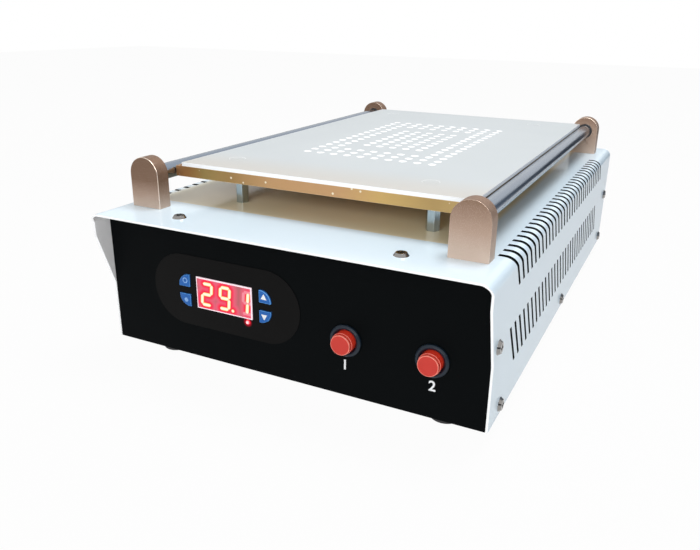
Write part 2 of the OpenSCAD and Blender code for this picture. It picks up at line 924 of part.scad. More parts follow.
module insulation_felt() {
    color([0.93, 0.92, 0.88]) difference() {
        round_the_box(tray_floor, felt_t);
        translate([lead_x, lead_y, tray_floor - over]) cylinder(d = lead_hole_d, h = felt_t + 2 * over);
    }
}

// A sensor tube in the channel between the vacuum box and the heater mat
module temperature_probe() {
    x = field_x + (box_w + mat_gap) / 2;
    z = (tray_floor + plate_z) / 2;
    color([0.8, 0.8, 0.8]) rod_y([x, lead_y, z], mat_gap - 2 * fit, probe_l);
}

module suction_hose() {
    low = pump_top + fit;
    color([0.86, 0.88, 0.88]) translate([hose_x, hose_y, low]) difference() {
        cylinder(d = hose_d, h = hose_top - low);
        translate([0, 0, -over]) cylinder(d = hose_bore, h = hose_top - low + 2 * over);
    }
}

// A rubber ring with a groove that grips the edge of its hole in the cover
module grommet(x, y, bore, outer) {
    translate([x, y, under_z - grommet_lip]) difference() {
        cylinder(d = outer + 2 * grommet_lip, h = sheet_t + 2 * grommet_lip);
        translate([0, 0, grommet_lip - fit / 2]) difference() {
            cylinder(d = outer + 2 * grommet_lip + over, h = sheet_t + fit);
            translate([0, 0, -over]) cylinder(d = outer - 2 * fit, h = sheet_t + 2 * over);
        }
        translate([0, 0, -over]) cylinder(d = bore, h = sheet_t + 2 * grommet_lip + 2 * over);
    }
}

module grommets() {
    color([0.08, 0.08, 0.08]) {
        grommet(hose_x, hose_y, hose_d + 2 * fit, hose_d + 2 * grommet_wall);
        grommet(lead_x, lead_y, lead_hole_d - 2 * grommet_wall, lead_hole_d);
    }
}

// The place of a pole of the terminal block along X
function pole_x(i) = power_x + (i - (block_poles - 1) / 2) * block_pitch;

// Sleeved leads: two from the mat, one from the inlet and one from the rocker switch to
// the terminal block, and one from the inlet to the rocker switch
module internal_leads() {
    low = board_top + block_h - pole_depth + fit;
    tail_y = inlet_root_y - inlet_floor - pin_tail;
    tail_z = inlet_z - pin_dz;
    turn_y = tail_y - 2 * lead_d;
    tab_end = rear_y - rocker_depth - tab_l;
    color([0.9, 0.9, 0.88]) {
        for (i = [1, 2])
            lead([[pole_x(i), lead_y, mat_z - fit], [pole_x(i), lead_y, heater_lane],
                [pole_x(i), block_y, heater_lane], [pole_x(i), block_y, low]], lead_d);
        lead([[inlet_x - pin_dx, tail_y, tail_z], [inlet_x - pin_dx, turn_y, tail_z],
            [inlet_x - pin_dx, block_y, mains_lane], [pole_x(0), block_y, mains_lane],
            [pole_x(0), block_y, low]], lead_d);
        lead([[rocker_x, tab_end, pivot_z + tab_dz], [rocker_x, turn_y, pivot_z + tab_dz],
            [rocker_x, block_y, switch_lane], [pole_x(3), block_y, switch_lane],
            [pole_x(3), block_y, low]], lead_d);
        lead([[inlet_x + pin_dx, tail_y, tail_z], [inlet_x + pin_dx, turn_y, tail_z],
            [rocker_x, turn_y, pivot_z - tab_dz], [rocker_x, tab_end, pivot_z - tab_dz]], lead_d);
    }
}

// Control panel

module stadium(l, r) {
    plate_2d(l - 2 * r, 2 * r);
    for (s = [-1, 1])
        translate([s * (l / 2 - r), 0]) circle(r = r);
}

// Put the children at the four keys, mirrored so that the round corner points outwards
module at_keys() {
    for (sx = [0, 1])
        for (sz = [0, 1])
            at_key(sx, sz) children();
}

module at_key(sx, sz) {
    translate([key_off, 0, 0]) mirror([sx, 0, 0]) mirror([0, 0, sz])
        translate([key_dx, 0, key_dz]) children();
}

// The outline of a key grown by g, its outer upper corner rounded
module key_2d(g) {
    w = key_w + 2 * g;
    h = key_h + 2 * g;
    r = key_h * key_corner_share;
    difference() {
        plate_2d(w, h);
        translate([w / 2 - r, h / 2 - r]) difference() {
            square(r + over);
            circle(r = r);
        }
    }
}

module key_cut(deep) { along_y(panel_y - over, deep) key_2d(play); }

module controller_overlay() {
    deep = overlay_t + 2 * over;
    color([0.11, 0.1, 0.1]) translate([screen_x, 0, screen_z]) difference() {
        along_y(panel_y - overlay_t, overlay_t) stadium(overlay_l, overlay_r);
        along_y(panel_y - overlay_t - over, deep) plate_2d(display_w + 2 * fit, display_h + 2 * fit);
        rod_y([led_dx, panel_y - overlay_t - over, -led_dz], led_d + 2 * fit, deep);
        at_keys() key_cut(deep);
    }
}

// Front faces of the display and of its coloured window
screen_y = panel_y - overlay_t - screen_out;
face_y = screen_y - face_t;

module display_module() {
    color([0.92, 0.78, 0.78]) translate([screen_x, 0, screen_z])
        along_y(screen_y, board_y - screen_y) plate_2d(display_w, display_h);
}

module display_face() {
    color([0.75, 0.2, 0.24]) translate([screen_x, 0, screen_z])
        along_y(face_y, face_t) plate_2d(display_w - 2 * face_rim, display_h - 2 * face_rim);
}

// Slant a list of points, as the digits lean
function slanted(points) = [for (p = points) [p[0] + digit_lean * p[1], p[1]]];

// The outline of one bar of a digit, level from its middle at c and as long as l
module level_bar(c, l) {
    a = l / 2 - seg_gap;
    b = seg_w / 2;
    polygon(slanted([[c[0] - a, c[1]], [c[0] - a + b, c[1] + b], [c[0] + a - b, c[1] + b],
        [c[0] + a, c[1]], [c[0] + a - b, c[1] - b], [c[0] - a + b, c[1] - b]]));
}

module upright_bar(c, l) {
    a = l / 2 - seg_gap;
    b = seg_w / 2;
    polygon(slanted([[c[0], c[1] - a], [c[0] + b, c[1] - a + b], [c[0] + b, c[1] + a - b],
        [c[0], c[1] + a], [c[0] - b, c[1] + a - b], [c[0] - b, c[1] - a + b]]));
}

// One digit as the bars that are lit, in the order top, upper right, lower right,
// bottom, lower left, upper left, middle
module digit(lit) {
    h = (digit_h - seg_w) / 2;
    w = digit_w - seg_w;
    if (lit[0]) level_bar([0, h], w);
    if (lit[1]) upright_bar([w / 2, h / 2], h);
    if (lit[2]) upright_bar([w / 2, -h / 2], h);
    if (lit[3]) level_bar([0, -h], w);
    if (lit[4]) upright_bar([-w / 2, -h / 2], h);
    if (lit[5]) upright_bar([-w / 2, h / 2], h);
    if (lit[6]) level_bar([0, 0], w);
}

// A plain reading on the display
reading = [[1, 1, 0, 1, 1, 0, 1], [1, 1, 1, 1, 0, 1, 1], [0, 1, 1, 0, 0, 0, 0]];
module display_digits() {
    color([1, 0.93, 0.6]) translate([screen_x, 0, screen_z])
        along_y(face_y - digit_t, digit_t) translate([digit_off, 0]) {
            for (i = [0 : 2])
                translate([(i - 1) * digit_pitch, 0]) digit(reading[i]);
            translate([digit_pitch / 2 - dot_d / 2, (dot_d - digit_h) / 2]) circle(d = dot_d);
        }
}

module indicator_led() {
    tip = panel_y - overlay_t - led_out;
    color([0.95, 0.2, 0.2]) translate([screen_x + led_dx, 0, screen_z - led_dz]) {
        rod_y([0, tip + led_d / 2, 0], led_d, board_y - tip - led_d / 2);
        translate([0, tip + led_d / 2, 0]) sphere(d = led_d);
    }
}

// One key with its hidden collar and the stem that enters its switch
module key(sx, sz) {
    y0 = panel_y - overlay_t - key_out;
    collar_y = panel_y + sheet_t + fit;
    stem_end = board_y - switch_t + stem_in;
    color([0.2, 0.43, 0.78]) translate([screen_x, 0, screen_z]) at_key(sx, sz) {
        along_y(y0, collar_y + key_flange_t - y0) key_2d(0);
        along_y(collar_y, key_flange_t) plate_2d(key_w + 2 * key_flange, key_h + 2 * key_flange);
        rod_y([0, collar_y, 0], key_stem_d, stem_end - collar_y);
    }
}

module set_key() { key(1, 0); }
module enter_key() { key(1, 1); }
module up_key() { key(0, 0); }
module down_key() { key(0, 1); }

module key_switches() {
    y = board_y - switch_t;
    color([0.1, 0.1, 0.1]) translate([screen_x, 0, screen_z]) at_keys() difference() {
        along_y(y, switch_t) plate_2d(switch_w, switch_w);
        rod_y([0, y - over, 0], key_stem_d + 2 * run_fit, switch_bore_depth + over);
    }
}

module at_controller_corners() {
    for (sx = [-1, 1])
        for (sz = [-1, 1])
            translate([screen_x + sx * (board_w / 2 - spacer_in), 0,
                screen_z + sz * (board_h / 2 - spacer_in)]) children();
}

module controller_board() {
    color([0.1, 0.36, 0.2]) {
        along_y(board_y, board_t) translate([screen_x, screen_z]) plate_2d(board_w, board_h);
        along_y(board_y + board_t, chip_t) translate([screen_x, screen_z]) plate_2d(chip_w, chip_w);
    }
}

module controller_spacers() {
    color([0.85, 0.85, 0.82]) at_controller_corners()
        rod_y([0, panel_y + sheet_t, 0], 2 * spacer_or, board_gap);
}

// One push button body: collar, threaded barrel with its cup, contact block and tabs
module button_housing(x) {
    y_back = panel_y + barrel_l;
    color([0.09, 0.1, 0.13]) translate([x, 0, button_z]) difference() {
        union() {
            translate([0, panel_y, 0]) rotate([90, 0, 0]) {
                cylinder(d = bezel_d, h = bezel_out - bezel_chamfer);
                translate([0, 0, bezel_out - bezel_chamfer])
                    cylinder(d1 = bezel_d, d2 = bezel_d - 2 * bezel_chamfer, h = bezel_chamfer);
            }
            rod_y([0, panel_y, 0], barrel_d, barrel_l);
            along_y(y_back, contact_l) plate_2d(contact_w, contact_w);
            for (s = [-1, 1])
                along_y(y_back + contact_l, tab_l)
                    translate([s * contact_w / 4, 0]) plate_2d(tab_t, tab_w);
        }
        rod_y([0, panel_y - bezel_out - over, 0], cup_d, bezel_out + over + barrel_l - cup_floor);
        translate([0, panel_y - bezel_out, 0]) rotate([-90, 0, 0])
            cylinder(d1 = cup_d + 2 * bezel_flare, d2 = cup_d, h = bezel_flare);
        rod_y([0, y_back - cup_floor - over, 0], plunger_d + 2 * run_fit, cup_floor + contact_l);
    }
}

module left_button_housing() { button_housing(button_x[0]); }
module right_button_housing() { button_housing(button_x[1]); }

module button_nuts() {
    color([0.15, 0.15, 0.16])
        for (x = button_x)
            translate([x, panel_y + sheet_t, button_z]) rotate([-90, 0, 0]) difference() {
                cylinder(d = nut_af / cos(30), h = nut_t, $fn = 6);
                translate([0, 0, -over]) cylinder(d = barrel_d + 2 * run_fit, h = nut_t + 2 * over);
            }
}

// One button cap: a disc on a grooved stem, with its plunger behind
module button_cap(x) {
    y0 = panel_y - cap_out;
    color([0.85, 0.25, 0.2]) translate([x, 0, button_z]) {
        translate([0, y0, 0]) rotate([-90, 0, 0]) rotate_extrude()
            polygon([[0, 0], [cap_d / 2 - 2 * cap_rim, 0], [cap_d / 2 - cap_rim, cap_rim],
                [cap_d / 2 - cap_rim, cap_groove_at], [cap_d / 2 - cap_rim - cap_groove, cap_groove_at],
                [cap_d / 2 - cap_rim - cap_groove, cap_groove_at + cap_groove],
                [cap_d / 2, cap_groove_at + cap_groove], [cap_d / 2, cap_l], [0, cap_l]]);
        rod_y([0, y0 + cap_l, 0], plunger_d, plunger_l);
    }
}

module left_button_cap() { button_cap(button_x[0]); }
module right_button_cap() { button_cap(button_x[1]); }

// Return springs, drawn as plain rings at their pressed length
module button_springs() {
    y = panel_y + barrel_l - cup_floor - spring_l;
    color([0.7, 0.72, 0.74])
        for (x = button_x)
            difference() {
                rod_y([x, y, button_z], spring_od, spring_l);
                rod_y([x, y - over, button_z], spring_id, spring_l + 2 * over);
            }
}

// Vacuum pump

module pump_head() {
    color([0.2, 0.21, 0.23]) translate([hose_x, hose_y, pump_z]) difference() {
        union() {
            translate([-pump_w / 2, -pump_l / 2, 0]) cube([pump_w, pump_l, pump_h]);
            translate([0, 0, pump_h]) cylinder(d = barb_d, h = barb_l);
            rod_y([0, pump_l / 2, pump_h / 2], barb_d, barb_l);
        }
        translate([0, 0, pump_h / 2]) cylinder(d = barb_bore, h = pump_h);
        rod_y([0, 0, pump_h / 2], barb_bore, pump_l);
    }
}

module pump_motor() {
    x1 = hose_x - pump_w / 2;
    x0 = x1 - motor_boss_l - pump_motor_l;
    z = pump_z + motor_z;
    color([0.72, 0.74, 0.76]) {
        rod_x([x0, hose_y, z], pump_motor_d, pump_motor_l);
        rod_x([x0 + pump_motor_l, hose_y, z], motor_boss_d, motor_boss_l);
    }
}

// A plate under the pump with a cradle that carries the motor
module pump_bracket() {
    wall_z = pump_z + motor_z * cradle_share;
    cradle_x = hose_x - pump_w / 2 - motor_boss_l - pump_motor_l / 2 - strap_w / 2;
    color([0.7, 0.72, 0.74]) difference() {
        union() {
            translate([bracket_x0, hose_y - pump_l / 2 - mount_d, bracket_z])
                cube([bracket_x1 - bracket_x0, pump_l + 2 * mount_d, bracket_t]);
            translate([cradle_x, hose_y - pump_motor_d / 2 - bracket_wall, pump_z])
                cube([strap_w, pump_motor_d + 2 * bracket_wall, wall_z - pump_z]);
        }
        rod_x([cradle_x - over, hose_y, pump_z + motor_z], pump_motor_d + 2 * fit, strap_w + 2 * over);
    }
}

module pump_mounts() {
    color([0.1, 0.1, 0.1])
        for (x = [bracket_x0 + mount_in, bracket_x1 - mount_in])
            for (s = [-1, 1])
                translate([x, hose_y + s * (pump_l / 2 + mount_d / 2), floor_z])
                    cylinder(d = mount_d, h = mount_h);
}

// Power board

module power_board() {
    color([0.1, 0.36, 0.2]) translate([power_x - power_w / 2, power_y - power_l / 2, power_z])
        cube([power_w, power_l, power_t]);
}

module board_spacers() {
    color([0.85, 0.85, 0.82])
        for (sx = [-1, 1])
            for (sy = [-1, 1])
                translate([power_x + sx * (power_w / 2 - power_in),
                    power_y + sy * (power_l / 2 - power_in), floor_z])
                    cylinder(r = spacer_or, h = power_gap);
}

module transformer() {
    z = board_top + (core_h - coil_h) / 2;
    color([0.4, 0.36, 0.3]) {
        translate([power_x - core_w / 2, coil_y - core_l / 2, board_top])
            cube([core_w, core_l, core_h]);
        translate([power_x - core_w / 2 + coil_out, coil_y - core_l / 2 - coil_out, z])
            cube([core_w - 2 * coil_out, core_l + 2 * coil_out, coil_h]);
    }
}

module relay() {
    color([0.1, 0.3, 0.65]) translate([relay_x - relay_w / 2, relay_y - relay_l / 2, board_top])
        cube([relay_w, relay_l, relay_h]);
}

module terminal_block() {
    color([0.15, 0.5, 0.3]) difference() {
        translate([power_x - block_w / 2, block_y - block_l / 2, board_top])
            cube([block_w, block_l, block_h]);
        for (i = [0 : block_poles - 1])
            translate([pole_x(i), block_y, board_top + block_h - pole_depth])
                cylinder(d = pole_d, h = pole_depth + over);
    }
}

// Rear of the case

module rounded_2d(w, h, r) {
    plate_2d(w - 2 * r, h);
    plate_2d(w, h - 2 * r);
    for (sx = [-1, 1])
        for (sy = [-1, 1])
            translate([sx * (w / 2 - r), sy * (h / 2 - r)]) circle(r = r);
}

inlet_root_y = rear_y + inlet_flange_t - cavity_depth;
module power_inlet() {
    y1 = rear_y + inlet_flange_t;
    depth = cavity_depth + inlet_floor;
    color([0.08, 0.08, 0.09]) translate([inlet_x, 0, inlet_z]) difference() {
        union() {
            along_y(rear_y, inlet_flange_t)
                rounded_2d(inlet_flange_w, inlet_flange_h, inlet_corner);
            along_y(y1 - depth, depth) plate_2d(inlet_w, inlet_h);
        }
        along_y(y1 - cavity_depth, cavity_depth + over) plate_2d(cavity_w, cavity_h);
        for (s = [-1, 1])
            translate([s * inlet_screw_dx, y1 - inlet_flange_t, 0]) rotate([-90, 0, 0]) {
                translate([0, 0, -over])
                    cylinder(d = inlet_screw_d + 2 * fit, h = inlet_flange_t + 2 * over);
                translate([0, 0, inlet_flange_t - inlet_head_h])
                    cylinder(d1 = inlet_screw_d + 2 * fit, d2 = inlet_head_d + 2 * fit,
                        h = inlet_head_h);
            }
        at_pins() along_y(y1 - depth - over, depth + 2 * over)
            plate_2d(pin_w + 2 * run_fit, pin_h + 2 * run_fit);
    }
}

module at_pins() {
    translate([0, 0, pin_dz]) children();
    for (s = [-1, 1])
        translate([s * pin_dx, 0, -pin_dz]) children();
}

module inlet_pins() {
    color([0.8, 0.75, 0.55]) translate([inlet_x, 0, inlet_z]) at_pins()
        along_y(inlet_root_y - inlet_floor - pin_tail, pin_tail + inlet_floor + pin_l)
            plate_2d(pin_w, pin_h);
}

module inlet_screws() {
    color([0.8, 0.82, 0.84])
        for (s = [-1, 1])
            translate([inlet_x + s * inlet_screw_dx, rear_y + inlet_flange_t, inlet_z])
                rotate([90, 0, 0]) {
                    cylinder(d1 = inlet_head_d, d2 = inlet_screw_d, h = inlet_head_h);
                    cylinder(d = inlet_screw_d, h = inlet_screw_l);
                }
}

// A snap-in switch body, open towards the back for its rocker
module rocker_housing() {
    inner_w = rocker_w + 2 * play;
    inner_h = rocker_h + 2 * play;
    outer_w = inner_w + 2 * rocker_wall;
    outer_h = inner_h + 2 * rocker_wall;
    y0 = rear_y - rocker_depth;
    color([0.08, 0.08, 0.09]) translate([rocker_x, 0, pivot_z]) difference() {
        union() {
            along_y(y0, rocker_depth + rocker_lip_t) plate_2d(outer_w, outer_h);
            along_y(rear_y, rocker_lip_t)
                plate_2d(outer_w + 2 * rocker_lip, outer_h + 2 * rocker_lip);
            for (s = [-1, 1])
                along_y(y0 - tab_l, tab_l) translate([0, s * tab_dz]) plate_2d(tab_w, tab_t);
        }
        along_y(y0 + rocker_wall, rocker_depth + rocker_lip_t) plate_2d(inner_w, inner_h);
        rod_x([-outer_w / 2 + play, pivot_y, 0], trunnion_d + 2 * run_fit, outer_w - 2 * play);
    }
}

// The rocker, tipped to its off position
module rocker() {
    h = rocker_h / 2 - play;
    reach = rocker_w / 2 + rocker_wall - play;
    color([0.12, 0.12, 0.13]) translate([rocker_x, pivot_y, pivot_z]) rotate([rocker_tilt, 0, 0]) {
        along_x(-rocker_w / 2, rocker_w)
            polygon([[rocker_edge, -h], [rocker_dip, 0], [rocker_edge, h], [-rocker_back, h],
                [-rocker_keel, rocker_back], [-rocker_keel, -rocker_back], [-rocker_back, -h]]);
        rod_x([-reach, 0, 0], trunnion_d, 2 * reach);
    }
}

cover();
base_tray();
front_panel();
rear_panel();
case_screws();
feet();
foot_screws();
front_left_post();
front_right_post();
rear_left_post();
rear_right_post();
post_screws();
roller_bushes();
left_roller();
right_roller();
suction_plate();
plate_screws();
plate_spacers();
plate_tray();
pillars();
pillar_screws();
vacuum_box();
heater_mat();
insulation_felt();
temperature_probe();
suction_hose();
grommets();
internal_leads();
controller_overlay();
display_module();
display_face();
display_digits();
indicator_led();
set_key();
enter_key();
up_key();
down_key();
key_switches();
controller_board();
controller_spacers();
left_button_housing();
right_button_housing();
button_nuts();
left_button_cap();
right_button_cap();
button_springs();
pump_head();
pump_motor();
pump_bracket();
pump_mounts();
power_board();
board_spacers();
transformer();
relay();
terminal_block();
power_inlet();
inlet_pins();
inlet_screws();
rocker_housing();
rocker();
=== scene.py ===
# %% [markdown]
# # A vacuum hot plate for a repair bench
#
# The machine is a bent white steel case with a heated suction plate on top, a round
# guide bar along each side and a black control panel under a visor. Its pieces come
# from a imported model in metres. This lesson gives each piece its finish, rebuilds the
# ones that are seen close up with rounded edges, adds the printed signs, and sets up
# camera and light.

import json
import math

import bmesh
import bpy
from mathutils import Matrix, Vector

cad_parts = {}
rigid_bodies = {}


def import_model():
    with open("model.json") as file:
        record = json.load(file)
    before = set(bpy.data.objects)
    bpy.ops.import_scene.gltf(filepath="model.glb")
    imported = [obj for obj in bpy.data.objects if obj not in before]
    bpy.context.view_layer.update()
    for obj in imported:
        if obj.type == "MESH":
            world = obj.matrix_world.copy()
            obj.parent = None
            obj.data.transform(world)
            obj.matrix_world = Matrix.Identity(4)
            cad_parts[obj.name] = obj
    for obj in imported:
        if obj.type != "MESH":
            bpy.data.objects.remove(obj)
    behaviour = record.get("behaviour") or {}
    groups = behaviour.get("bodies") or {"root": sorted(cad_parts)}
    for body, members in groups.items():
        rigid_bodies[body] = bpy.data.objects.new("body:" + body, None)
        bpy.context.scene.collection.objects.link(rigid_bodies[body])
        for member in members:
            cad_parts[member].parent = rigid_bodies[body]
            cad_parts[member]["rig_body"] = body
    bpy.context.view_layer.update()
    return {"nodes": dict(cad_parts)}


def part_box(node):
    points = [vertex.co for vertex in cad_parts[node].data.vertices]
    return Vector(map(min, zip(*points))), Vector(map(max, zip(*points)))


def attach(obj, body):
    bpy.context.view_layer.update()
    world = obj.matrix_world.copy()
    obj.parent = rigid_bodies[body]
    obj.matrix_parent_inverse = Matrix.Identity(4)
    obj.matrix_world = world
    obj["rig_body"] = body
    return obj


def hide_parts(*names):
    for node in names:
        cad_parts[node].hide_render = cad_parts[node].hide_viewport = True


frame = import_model()
nodes = frame["nodes"]
MM = 0.001


def size_of(node):
    """Width, depth and height of a node, in millimetres."""
    low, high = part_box(node)
    return [round((b - a) / MM, 1) for a, b in zip(low, high)]


# %% [markdown]
# The camera is a plain pinhole. Its place was found by matching the straight edges of
# the case, so heading, tilt and roll are angles and the lens follows from the width
# of the picture. It could also aim at a target, but a fixed set of angles is easier to
# read and to repeat.

# %% Camera
PICTURE_WIDE = 700
FOCAL_PIXELS = 694.66
SENSOR_WIDE = 36.0
CAMERA_PLACE = Vector((186.2, -462.0, 199.6)) * MM
HEADING = math.radians(26.45)
TILT = math.radians(69.43)
ROLL = math.radians(0.79)


def placed(name, data):
    """A new object in the scene."""
    made = bpy.data.objects.new(name, data)
    bpy.context.scene.collection.objects.link(made)
    return made


camera_data = bpy.data.cameras.new("photo_camera")
camera_data.sensor_width = SENSOR_WIDE
camera_data.lens = FOCAL_PIXELS * SENSOR_WIDE / PICTURE_WIDE
camera = placed("photo_camera", camera_data)
camera.matrix_world = (
    Matrix.Translation(CAMERA_PLACE)
    @ Matrix.Rotation(HEADING, 4, "Z")
    @ Matrix.Rotation(TILT, 4, "X")
    @ Matrix.Rotation(ROLL, 4, "Z")
)
bpy.context.scene.camera = camera
print("lens:", round(camera_data.lens, 2), "mm")

# %% [markdown]
# A finish is worked out with sums: a share of one tone, a mask over a zone. They could
# be wired by hand in the shader editor, but then nobody can read them as sums. So one
# class wraps a socket, and a plain Python expression on it adds the Math nodes.


# %% Sums on sockets
class Term:
    """A socket of a node tree, used in Python sums."""

    def __init__(self, graph, socket):
        self.graph = graph
        self.socket = socket

    def maths(self, operation, first, second):
        return self.graph.node("Math", {"operation": operation}, {0: first, 1: second})

    def __add__(self, other):
        return self.maths("ADD", self, other)

    def __sub__(self, other):
        return self.maths("SUBTRACT", self, other)

    def __rsub__(self, other):
        return self.maths("SUBTRACT", other, self)

    def __mul__(self, other):
        return self.maths("MULTIPLY", self, other)

    def __truediv__(self, other):
        return self.maths("DIVIDE", self, other)

    def __pow__(self, other):
        return self.maths("POWER", self, other)

    def least(self, other):
        return self.maths("MINIMUM", self, other)

    def most(self, other):
        return self.maths("MAXIMUM", self, other)

    def ease(self, start, end):
        """0 up to start, 1 from end on, and a smooth rise between."""
        reach = {"Value": self, "From Min": start, "From Max": end}
        return self.graph.node("MapRange", {"interpolation_type": "SMOOTHSTEP"}, reach)

    __radd__ = __add__
    __rmul__ = __mul__


print("sums on sockets ready")

# %% [markdown]
# Every other node comes from one method, which takes the type of a node, its settings
# and what its sockets get. The settings come first, because some of them change which
# sockets count. Colours go through Mix and places through Vector Math, since a Math
# node would turn them grey. Noise is asked for by the size of its spots, so that a
# grain can be compared with the real one.


# %% Node trees
class Graph:
    """A node tree, with short ways to add nodes to it."""

    def __init__(self, tree):
        self.tree = tree

    def feed(self, socket, value):
        if isinstance(value, Term):
            self.tree.links.new(value.socket, socket)
        elif isinstance(value, tuple) and len(value) == 3 and len(socket.default_value) == 4:
            socket.default_value = (*value, 1)
        else:
            socket.default_value = value

    def node(self, kind, settings=None, sockets=None, out=0):
        made = self.tree.nodes.new("ShaderNode" + kind)
        for key, value in (settings or {}).items():
            if key == "stops":
                for stop, (place, tone) in zip(made.color_ramp.elements, value):
                    stop.position = place
                    stop.color = (*tone, 1)
                for place, tone in value[2:]:
                    made.color_ramp.elements.new(place).color = (*tone, 1)
            else:
                setattr(made, key, value)
        for key, value in (sockets or {}).items():
            self.feed(made.inputs[key], value)
        return Term(self, made.outputs[out])

    def vector(self, operation, first, second, out=0):
        return self.node("VectorMath", {"operation": operation}, {0: first, 1: second}, out)

    def place(self):
        return self.node("TexCoord", out="Object")

    def along(self, axis):
        """The place along one axis, in millimetres."""
        return self.node("SeparateXYZ", sockets={0: self.place()}, out=axis) / MM

    def noise(self, size, detail=2.0, stretch=(1, 1, 1)):
        """Cloudy noise, from 0 to 1, whose spots are about size millimetres across."""
        spot = self.node("Mapping", sockets={"Vector": self.place(), "Scale": stretch})
        sockets = {"Vector": spot, "Scale": 1 / (size * MM), "Detail": detail}
        return self.node("TexNoise", sockets=sockets)

    def mix(self, share, first, second):
        both = {"Factor": share, 6: first, 7: second}
        return self.node("Mix", {"data_type": "RGBA"}, both, out=2)

    def ramp(self, value, stops):
        return self.node("ValToRGB", {"stops": stops}, {"Fac": value})


print("node trees ready")

# %% [markdown]
# One material is one Principled shader and what feeds it. A layered look could also be
# mixed from several shaders, but one shader keeps every value in a single place. What is
# the same everywhere goes straight onto the shader's own sockets. Height goes through a
# Bump node, given in millimetres, as a workshop would measure it.


# %% One material
class Finish(Graph):
    """One material: a Principled shader and the nodes that feed it."""

    def __init__(self, name, **constants):
        self.material = bpy.data.materials.new(name)
        self.material.use_nodes = True
        super().__init__(self.material.node_tree)
        self.shader = self.tree.nodes["Principled BSDF"]
        for words, value in constants.items():
            self.give(words.replace("_", " ").title(), value)

    def give(self, socket, value):
        self.feed(self.shader.inputs[socket.replace("Ior", "IOR")], value)

    def bump(self, height, depth):
        """Lets height, from 0 to 1, stand depth millimetres out of the surface."""
        self.give("Normal", self.node("Bump", sockets={"Height": height, "Distance": depth * MM}))


def shaded(tone, share):
    """A tone made darker by a share of itself."""
    return tuple(part * (1 - share) for part in tone)


print("finishes ready")

# %% [markdown]
# The case is powder coated: cured powder flows into a faint orange peel under a clear
# skin, and its tone drifts a little over the sheet. One flat colour would look like
# plastic. So fine noise in the bump makes the peel, coarse noise moves the colour, and a
# coat gives the skin. The panel has the matt kind of powder, which hardly reflects.


# %% Coats of paint
def powder(coat, tone, rough, peel, gloss):
    """Gives a coat its tone, its skin and its orange peel."""
    coat.give("Base Color", tone)
    coat.give("Roughness", rough + 0.08 * coat.noise(9))
    coat.give("Coat Weight", gloss)
    coat.bump(coat.noise(1.3, 1.0), peel)
    return coat.material


def powder_coat(name, light, dark, rough, peel, gloss, **constants):
    coat = Finish(name, **constants)
    return powder(coat, coat.mix(coat.noise(70), dark, light), rough, peel, gloss)


SKIN = {"coat_roughness": 0.1, "coat_ior": 1.45, "specular_ior_level": 0.2}
MATT = {"specular_ior_level": 0.035}
WHITE = (0.75, 0.885, 0.98)
WHITE_DARK = (0.72, 0.86, 0.96)
EDGE = (0.97, 0.98, 0.99)
EDGE_DARK = (0.95, 0.97, 0.98)
BLACK = (0.0020, 0.0028, 0.0032)
BLACK_DARK = (0.0012, 0.0018, 0.0022)
WHITE_ROUGH = 0.35
WHITE_PEEL = 0.003
WHITE_GLOSS = 0.5
WHITE_COAT = powder_coat(
    "white_powder_coat", WHITE, WHITE_DARK, rough=WHITE_ROUGH, peel=WHITE_PEEL, gloss=WHITE_GLOSS, **SKIN
)
# A paler white on the edges of the sheet: a painted highlight.
WHITE_HIGHLIGHT = powder_coat(
    "white_edge_highlight", EDGE, EDGE_DARK, rough=0.30, peel=0.002, gloss=0.8, **SKIN
)
BLACK_COAT = powder_coat(
    "black_powder_coat", BLACK, BLACK_DARK, rough=0.5, peel=0.01, gloss=0.0, **MATT
)
print("coats:", WHITE_COAT.name, WHITE_HIGHLIGHT.name, BLACK_COAT.name)

# %% [markdown]
# The paint of the cover is painted beige below the plate, with a clear line in front of it
# and a soft one behind: painted shade of the plate, warmed by the painted bounce of the
# gold tray. A second sheet on top could carry the colour, but it would have an edge of its
# own. Here masks over the place on the cover mix two tones, so the painted shade has no
# thickness. Its borders are set in millimetres from the plate and from the tray.

# %% Painted shade on the cover
plate_low, plate_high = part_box("suction_plate")
tray_low, tray_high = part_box("plate_tray")
SHADE_AHEAD = 3.2
FRONT_FADE = 1.0
BACK_FADE = 12.0
RIGHT_INSET = 4.0
RIGHT_FADE = 5.0
LEFT_REACH = 20.0
LEFT_FADE = 8.0


def painted_shade_zone(coat):
    """1 on the paint where shade is painted, 0 on the clean paint, with a fade of its own on each side."""
    depth = coat.along("Y")
    across = coat.along("X")
    front = plate_low.y / MM - SHADE_AHEAD
    back = plate_high.y / MM
    right = tray_high.x / MM - RIGHT_INSET
    left = tray_low.x / MM - LEFT_REACH
    lengthwise = depth.ease(front, front + FRONT_FADE) * (1 - depth.ease(back, back + BACK_FADE))
    return lengthwise * (1 - across.ease(right, right + RIGHT_FADE)) * across.ease(left, left + LEFT_FADE)


def cover_coat_with_shade():
    coat = Finish("white_cover_coat", **SKIN)
    clean = coat.mix(coat.noise(70), WHITE_DARK, WHITE)
    # A beige tone for the painted shade and warm bounce under the plate.
    shade_tone = coat.mix(coat.noise(40), (0.80, 0.71, 0.47), (0.88, 0.79, 0.55))
    tone = coat.mix(0.95 * painted_shade_zone(coat), clean, shade_tone)
    return powder(coat, tone, WHITE_ROUGH, WHITE_PEEL, WHITE_GLOSS)


COVER_COAT = cover_coat_with_shade()
print("painted_shade starts", SHADE_AHEAD, "mm in front of", round(plate_low.y / MM, 1), "mm")

# %% [markdown]
# Inside, the sheet is painted near black as painted shade, so that the vents look black.
# Outside the two panels, under the visor, the inside can be seen and is painted a paler
# white than the outer coat, as painted light on that shaded face. The cover could be cut
# into two pieces for that, but the place along the case tells both zones apart.

# %% Lining of the cover
PANEL_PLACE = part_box("front_panel")[0].y / MM
REAR_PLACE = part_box("rear_panel")[1].y / MM
PRIMER_FADE = 0.5


